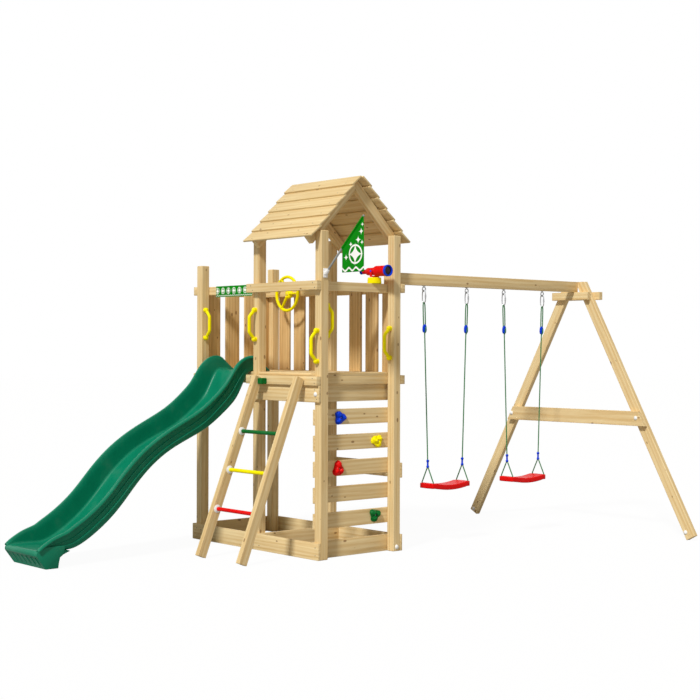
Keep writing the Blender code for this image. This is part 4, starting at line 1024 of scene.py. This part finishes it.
class TOWER_OT_flag(bpy.types.Operator):
    """Hang the flag on its pole, and fix the banner and the plate"""
    bl_idname = "tower.flag"
    bl_label = "Flag and banner"

    def execute(self, context):
        low, high = span("flag")
        pole = 0.008
        foot, tip = Vector((0.014, 0.037, 2.170)), Vector((0.438, 0.037, 2.572))
        run = (tip - foot).normalized()
        self.pole(foot, tip, run, pole)

        def hang(x):
            """Height of the cloth's upper edge, just under the leaning pole."""
            return foot.z + (x - foot.x) * run.z / run.x - (pole + GAP) / run.x

        ripple = context.scene.cloth_settings.ripple
        bm = bmesh.new()
        bmesh.ops.create_grid(bm, x_segments=24, y_segments=36, size=0.5)
        for v in bm.verts:
            s, t = v.co.x + 0.5, v.co.y + 0.5
            x = low.x + (high.x - low.x) * s
            sway = ripple * math.sin(s * 7.2 + t * 1.6) * (1.0 - t ** 3) * (0.4 + 0.6 * s)
            v.co = at(x, foot.y + sway, low.z + (hang(x) - low.z) * t)
        stars = ((0.030, 0.105, 0.034), (0.062, 0.165, 0.030), (0.070, 0.085, 0.022), (-0.050, 0.075, 0.026),
                 (0.076, 0.215, 0.020), (-0.105, -0.020, 0.030))
        cloth_print = printed_cloth("printed_polyester_flag", at(0.345, 0.037, 2.292), 0.092, small=stars)
        flag = piece("flag_cloth", bm, cloth_print, "tower", ("flag",), 60)
        start = foot + run * ((low.x - foot.x) / run.x)
        stop = foot + run * ((high.x - 0.004 - foot.x) / run.x)
        long = (stop - start).length
        bm = bmesh.new()
        add_turned(bm, [(0.0082, 0.0), (0.0082, long), (0.0092, long), (0.0092, 0.0), (0.0082, 0.0)],
                   facing(CORNER + start, run), 28)
        piece("flag_sleeve", bm, cloth_print, "tower", ("flag",), 50)
        cloth = flag.modifiers.new("cloth", "SOLIDIFY")
        cloth.thickness = 0.0008
        cloth.offset = 0.0

        rail, _ = span("slide_top_rail")
        bm = bmesh.new()
        add_board(bm, (-1.450, rail.y - 0.0030, 2.022), (-0.955, rail.y - GAP, 2.112), None, 0.0010)
        piece("banner", bm, printed_cloth("printed_vinyl_banner", at(-1.2025, 0.0, 2.072), 0.033, 0.076),
              "tower")
        # The plain plate beside the ladder has a sunk field on its front and its right side
        bm = bmesh.new()
        add_board(bm, (-0.6597, -0.0990, 1.3180), (-0.6030, -0.0453, 1.3660), None, 0.0080)
        for face in sorted(bm.faces, key=lambda f: -f.calc_area())[:6]:
            if face.normal.y < -0.9 or face.normal.x > 0.9:
                bmesh.ops.inset_individual(bm, faces=[face], thickness=0.003, depth=-0.0015,
                                           use_even_offset=True)
        piece("badge_plate", bm, plastic("green"), "tower")
        return {"FINISHED"}

    def pole(self, foot, tip, run, radius):
        """The tube with its chamfered end, and the bracket that holds it."""
        long = (tip - foot).length
        path = [CORNER + (foot + run * t) for t in (0.0, long - 0.004, long)]
        bm = bmesh.new()
        sweep(bm, path, [radius, radius, 0.0065], 24)
        piece("flag_pole_tube", bm, painted_tube("painted_tube_grey", "#9A9C9A"), "tower", ("flag_pole",))
        bm = bmesh.new()
        add_board(bm, (GAP, 0.017, 2.132), (0.007, 0.057, 2.202), None, 0.003)
        socket = [CORNER + (foot + run * t) for t in (-0.010, 0.006, 0.030, 0.034)]
        sweep(bm, socket, [0.016, 0.0155, 0.0125, 0.0110], 28)
        for z in (2.141, 2.193):
            add_turned(bm, [(0.0, 0.0028), (0.003, 0.0024), (0.0045, 0.0), (0.0, 0.0)],
                       facing(at(0.007, foot.y, z), (1, 0, 0)), 16)
        piece("flag_bracket", bm, plastic("white"), "tower", ("flag_pole",))


class TOWER_OT_swings(bpy.types.Operator):
    """Lay the swing ropes, mould the seats and hang them from the beam's eyes"""
    bl_idname = "tower.swings"
    bl_label = "Swings"

    def execute(self, context):
        low, high = span("swing_beam")
        beam_deep, neck = 0.094, 0.006
        beam_z, x = high.z - beam_deep, (low.x + high.x) / 2
        board("swing_beam_timber", "swing_beam", (low.x, high.x), (low.y, high.y), (beam_z, high.z), "Y")
        eye_z = beam_z - neck - EYE - ROD
        washer = [(0.0, 0.0045), (0.010, 0.0042), (0.0145, 0.002), (0.015, 0.0), (0.0, 0.0)]
        eyes = bmesh.new()
        for _, mid_y in SWINGS:
            for y in (mid_y - EYE_OUT, mid_y + EYE_OUT):
                eye = [at(x, y + s * EYE, eye_z + c * EYE) for c, s in circle(40)]
                sweep(eyes, eye, ROD, 14, closed=True)
                sweep(eyes, [at(x, y, eye_z + EYE), at(x, y, beam_z + 0.010)], 0.0042, 14)
                add_turned(eyes, washer, facing(at(x, y, beam_z - 0.0002), (0, 0, -1)), 28)
        piece("swing_eyes", eyes, zinc_plated(), "tower", ("swing_beam",))
        for body, mid_y in SWINGS:
            for word, side in (("front", -1), ("back", 1)):
                self.rope(body, word, x, mid_y + side * EYE_OUT, mid_y + side * SEAT_OUT, eye_z - EYE)
            self.seat(body, x, mid_y)
        return {"FINISHED"}

    def strands(self, bm, path):
        """Three laid strands along a path."""
        ropes = bpy.context.scene.rope_settings
        thick, lay = ropes.thick, ropes.lay
        total = sum((b - a).length for a, b in zip(path, path[1:]))
        count = max(8, int(total / lay * 9))
        # Even steps along the path, so that the lay doesn't stretch
        fine, walked, i = [], 0.0, 0
        for k in range(count + 1):
            want = total * k / count
            while i < len(path) - 2 and walked + (path[i + 1] - path[i]).length < want:
                walked += (path[i + 1] - path[i]).length
                i += 1
            part = (path[i + 1] - path[i]).length
            fine.append(path[i].lerp(path[i + 1], min(max((want - walked) / part, 0.0), 1.0)))
        places = frames(fine)
        for s in range(3):
            line = []
            for k, place in enumerate(places):
                a = 2 * math.pi * (k * total / count / lay + s / 3)
                line.append(place @ Vector((math.cos(a) * thick * 0.235, math.sin(a) * thick * 0.235, 0)))
            sweep(bm, line, thick * 0.268, 8)

    def rope(self, body, word, x, hook_y, end_y, pivot):
        """A ring in its eye, the doubled rope down to the adjuster, the bead and the seat's two lines."""
        node = "%s_rope_%s" % (body, word)
        ring_long, half, air = 0.110, 0.0185, 0.0006
        adjuster_z, bead_z = 1.763, 0.660
        top = pivot + 2 * ROD + air
        low = top + ROD - ring_long
        tall = (top - low - ROD) / 2
        mid_z = top - tall
        bm = bmesh.new()
        oval = [at(x + half * squared(c, 0.7), hook_y, mid_z + tall * squared(s, 0.7)) for c, s in circle(56)]
        sweep(bm, oval, ROD, 14, closed=True)
        sweep(bm, [at(x + half, hook_y, mid_z - 0.014), at(x + half, hook_y, mid_z + 0.014)], 0.0066, 14)
        piece(node + "_ring", bm, zinc_plated(), body, (node,))

        start, end = Vector((x, hook_y, low + 0.004)), Vector((x, end_y, bead_z))
        spot = start.lerp(end, (start.z - adjuster_z) / (start.z - end.z))
        # From the ring to the adjuster the rope is doubled, and one side crosses the adjuster's face
        loop = [start.lerp(spot, share) + Vector((0, bow * 0.011, 0)) for share, bow in
                ((0.98, -0.62), (0.80, -0.95), (0.5, -1.0), (0.2, -1.0), (0.06, -0.80), (0.0, -0.30))]
        drop = start.z - spot.z
        loop += [Vector((v.x, v.y + 2 * (start.lerp(spot, (start.z - v.z) / drop).y - v.y), v.z))
                 for v in reversed(loop)]
        loop += [spot + Vector(v) for v in ((0.0135, 0.004, 0.010), (0.0150, -0.001, -0.012),
                                            (0.0080, 0.0, -0.030), (0.0, 0.0, -0.044))]
        bm = bmesh.new()
        self.strands(bm, [CORNER + p for p in smooth_line(loop, 4)])
        run = (end - spot).normalized()
        self.strands(bm, [CORNER + (spot + run * 0.036), CORNER + end])
        for side in (-1, 1):
            self.strands(bm, [at(x + side * out, end_y, z) for out, z in
                              ((0.003, 0.634), (0.060, 0.520), (0.065, 0.511), (0.065, 0.5033))])
        mat = polypropylene_rope("laid_polypropylene_green", bpy.context.scene.rope_settings.fibre)
        piece(node + "_laid", bm, mat, body, (node,), 60)

        bm = bmesh.new()
        bmesh.ops.create_icosphere(bm, subdivisions=4, radius=1.0)
        for v in bm.verts:
            full = Vector([squared(c, 0.72) for c in v.co])
            pinch = 1.0 - 0.14 * full.z
            v.co = CORNER + (spot + Vector((full.x * 0.0110, full.y * 0.0205 * pinch, full.z * 0.0350)))
        piece(node + "_adjuster", bm, plastic("blue"), body, (node,), 60)
        ball, tall = 0.0125, 0.036
        knob = [(max(ball * math.sin(a), 0.0), tall - ball + ball * math.cos(a))
                for a in (0.0, 0.3, 0.6, 0.9, 1.2, 1.5, 1.8, 2.1, 2.4)]
        knob += [(0.0078, tall - 2 * ball - 0.001), (0.0078, 0.004)]
        knob += [(r, -h) for r, h in reversed(knob)]
        place = Matrix.Translation(CORNER + end)
        turned_piece(node + "_bead", knob, place, plastic("blue"), body, (node,), 28)

    def seat(self, body, x, y):
        """A thick seat that sags in its middle; its sheet is its upper face."""
        node = body + "_seat"
        wide, deep, top_z, sag = 0.445, 0.165, 0.503, 0.018
        bm = bmesh.new()
        bmesh.ops.create_grid(bm, x_segments=18, y_segments=40, size=0.5)
        for v in bm.verts:
            s, u = v.co.y * 2, v.co.x * 2
            corner = 1.0 - 0.08 * abs(s) ** 10
            drop = sag * max(0.0, 1 - (s / 0.80) ** 2)
            long = wide * (1 - 0.03 * abs(u) ** 4)
            v.co = at(x + v.co.x * deep * corner, y + v.co.y * long, top_z - drop)
        plank = piece(node + "_moulded", bm, plastic("red"), body, (node,), 50, fix=False)
        thick = plank.modifiers.new("thickness", "SOLIDIFY")
        thick.thickness = 0.042
        thick.offset = -1.0
        soft = plank.modifiers.new("edges", "BEVEL")
        soft.width = 0.009
        soft.segments = 4
        soft.limit_method = "ANGLE"
        soft.angle_limit = math.radians(50)


class TOWER_OT_fixings(bpy.types.Operator):
    """Drive the screws and push on the white caps"""
    bl_idname = "tower.fixings"
    bl_label = "Screws and caps"

    def execute(self, context):
        screws = bmesh.new()
        head = [(0.0, 0.0006), (0.0016, 0.0004), (0.0040, 0.0005), (0.0044, 0.0), (0.0, 0.0)]
        front, back, left, right = (0, -1, 0), (0, 1, 0), (-1, 0, 0), (1, 0, 0)

        def screw(x, y, z, way):
            add_turned(screws, head, facing(at(x, y, z), way), 12)

        for number in range(1, 6):
            low, high = span("climbing_board_%d" % number)
            for y in (POST / 2, high.y - POST / 2):
                for dz in (0.030, 0.090):
                    screw(low.x - 0.0001, y, low.z + dz, left)
        top_z, platform_z = 2.064, 1.352  # heights of the screws in the fences' two rails
        for x, stop in BACK_SLATS:
            for z in (top_z, platform_z):
                for dx in (0.030, min(0.109, stop - x - 0.02)):
                    screw(x + dx, 0.7999, z, front)
        for y, _ in LEFT_SLATS:
            for dy in (0.030, 0.066):
                screw(-1.6029, y + dy, top_z, right)
        # The heads lie on the rails above the platform's bearer, and on thinner boards below
        on_rail, on_board = -0.0454, -0.0224
        for x in POSTS_X[1:]:
            for z, y, dx in ((2.057, on_rail, 0.012), (2.093, on_rail, -0.012), (1.335, on_rail, 0.012),
                             (1.371, on_rail, -0.012), (1.215, on_board, 0.012), (1.285, on_board, -0.012)):
                screw(x + dx, y, z, front)
        low_z = (0.035, 0.095)
        for y in (0.0375, 0.7845):
            for z in low_z:
                screw(-1.6474, y, z, left)
        for x in POSTS_X:
            for z in low_z:
                screw(x, on_board, z, front)
                screw(x, 0.8444, z, back)
        share = 0.80  # how far down a roof board its screws are
        for node, side in SLOPES:
            for i in range(6):
                y, z = on_slope(node, side, (i + share) * ROOF_STEP, ROOF_SHEET + ROOF_LAP * share - 0.0002)
                for x in (-0.7475, -0.0977):
                    screw(x, y, z, (0, side * ROOT, ROOT))
        steel = zinc_plated("zinc_plated_dark", "#8E857A", 0.5)
        piece("screw_heads", screws, steel, "tower")

        caps = bmesh.new()
        dome = [(0.0, 0.0120), (0.0090, 0.0105), (0.0150, 0.0065), (0.0180, 0.0020), (0.0180, 0.0),
                (0.0, 0.0)]
        for spot in ((-0.832, 3.0345, 0.999), (0.604, 3.0345, 1.006), (1.089, 3.0798, 0.065),
                     (-1.361, 3.0798, 0.050), (-0.0375, -0.0225, 1.252)):
            add_turned(caps, dome, facing(at(*spot), front), 28)
        add_turned(caps, dome, facing(at(0.0002, 0.784, 0.034), right), 28)
        piece("bolt_caps", caps, plastic("white"), "tower")
        return {"FINISHED"}


class TOWER_OT_stage(bpy.types.Operator):
    """Set up the white floor, the soft light and the camera"""
    bl_idname = "tower.stage"
    bl_label = "Stage"

    def execute(self, context):
        scene = context.scene
        self.floor(scene)
        self.light(scene)
        self.camera(scene)
        scene.view_settings.view_transform = "Standard"
        return {"FINISHED"}

    def floor(self, scene):
        """White paper: the camera sees it nearly even, with a faint shadow left on it."""
        bm = bmesh.new()
        bmesh.ops.create_grid(bm, x_segments=1, y_segments=1, size=60.0)
        bmesh.ops.translate(bm, vec=(0, 0, -0.0008), verts=bm.verts)
        mesh = bpy.data.meshes.new("floor")
        bm.to_mesh(mesh)
        bm.free()
        floor = bpy.data.objects.new("floor", mesh)
        scene.collection.objects.link(floor)
        mat, tree, shader = new_material("white_paper_floor", 0.9, Specular_IOR_Level=0.0)
        camera_ray = add_node(tree, "LightPath").outputs["Is Camera Ray"]
        tree.links.new(between(tree, camera_ray, 0.5, 1.0), shader.inputs["Base Color"])
        glow = add_node(tree, "Emission", {"Strength": 1.0})
        seen = maths(tree, "MULTIPLY", camera_ray, 1.0 - scene.stage_settings.floor)
        mix = add_node(tree, "MixShader", links={0: seen, 1: shader.outputs[0], 2: glow.outputs[0]})
        tree.links.new(mix.outputs[0], tree.nodes["Material Output"].inputs["Surface"])
        mesh.materials.append(mat)

    def light(self, scene):
        """A white studio to the eye and to reflections, dimmer light from all round, and one key lamp."""
        stage = scene.stage_settings
        world = bpy.data.worlds.new("studio")
        scene.world = world
        world.use_nodes = True
        tree = world.node_tree
        tree.nodes.clear()
        ray = add_node(tree, "LightPath").outputs
        seen = maths(tree, "MAXIMUM", maths(tree, "MAXIMUM", ray["Is Camera Ray"], ray["Is Glossy Ray"]),
                     ray["Is Transmission Ray"])
        # The light from all round is a little warm, as timber and ground throw it back
        air = add_node(tree, "Mix", {6: (1.0, 0.93, 0.82, 1.0), 7: (1.0, 1.0, 1.0, 1.0)}, {0: seen},
                       data_type="RGBA")
        back = add_node(tree, "Background", links={"Color": air.outputs[2],
                                                   "Strength": between(tree, seen, stage.sky, 1.0)})
        add_node(tree, "OutputWorld", links={"Surface": back.outputs[0]})
        lamp = bpy.data.lights.new("key", "SUN")
        lamp.energy = stage.sun
        lamp.angle = math.radians(7)
        key = bpy.data.objects.new("key", lamp)
        scene.collection.objects.link(key)
        key.rotation_euler = Vector((0.28, -0.68, 0.68)).to_track_quat("Z", "Y").to_euler()

    def camera(self, scene):
        """The photo's camera, as fitted to it."""
        wide, focal, picture = 36.0, 1397.52, 700  # sensor in millimetres, the others in pixels
        yaw, pitch, roll = (math.radians(v) for v in (48.8409, -0.0434, -0.1689))
        ahead = Vector((-math.sin(yaw) * math.cos(pitch), math.cos(yaw) * math.cos(pitch), math.sin(pitch)))
        right = Vector((math.cos(yaw), math.sin(yaw), 0))
        up = right.cross(ahead)
        side = right * math.cos(roll) - up * math.sin(roll)
        head = right * math.sin(roll) + up * math.cos(roll)
        lens = bpy.data.cameras.new("camera")
        lens.sensor_width = wide
        lens.lens = focal / picture * wide
        lens.clip_end = 200.0
        camera = bpy.data.objects.new("camera", lens)
        scene.collection.objects.link(camera)
        turn = Matrix((side, head, -ahead)).transposed()
        camera.matrix_world = Matrix.Translation(at(8.0565, -6.7542, 1.5947)) @ turn.to_4x4()
        scene.camera = camera


OPERATORS = (TOWER_OT_timber, TOWER_OT_boards, TOWER_OT_roof, TOWER_OT_slide, TOWER_OT_holds, TOWER_OT_ladder,
             TOWER_OT_handles, TOWER_OT_wheel, TOWER_OT_telescope, TOWER_OT_flag, TOWER_OT_swings,
             TOWER_OT_fixings, TOWER_OT_stage)
SETTINGS = (("timber_settings", TimberSettings), ("plastic_settings", PlasticSettings),
            ("rope_settings", RopeSettings), ("cloth_settings", ClothSettings),
            ("stage_settings", StageSettings))


class TOWER_PT_panel(bpy.types.Panel):
    """The tower's pieces, in the order in which they are built"""
    bl_idname = "TOWER_PT_panel"
    bl_label = "Play tower"
    bl_space_type = "VIEW_3D"
    bl_region_type = "UI"
    bl_category = "Play tower"

    def draw(self, context):
        for name, group in SETTINGS:
            box = self.layout.box()
            settings = getattr(context.scene, name)
            for key in group.__annotations__:
                box.prop(settings, key)
        for operator in OPERATORS:
            self.layout.operator(operator.bl_idname)


def register():
    for name, group in SETTINGS:
        bpy.utils.register_class(group)
        setattr(bpy.types.Scene, name, bpy.props.PointerProperty(type=group))
    for cls in OPERATORS + (TOWER_PT_panel,):
        bpy.utils.register_class(cls)


def unregister():
    for cls in reversed(OPERATORS + (TOWER_PT_panel,)):
        bpy.utils.unregister_class(cls)
    for name, group in reversed(SETTINGS):
        delattr(bpy.types.Scene, name)
        bpy.utils.unregister_class(group)


def main():
    register()
    for operator in OPERATORS:
        area, verb = operator.bl_idname.split(".")
        getattr(getattr(bpy.ops, area), verb)()


if __name__ == "__main__":
    main()
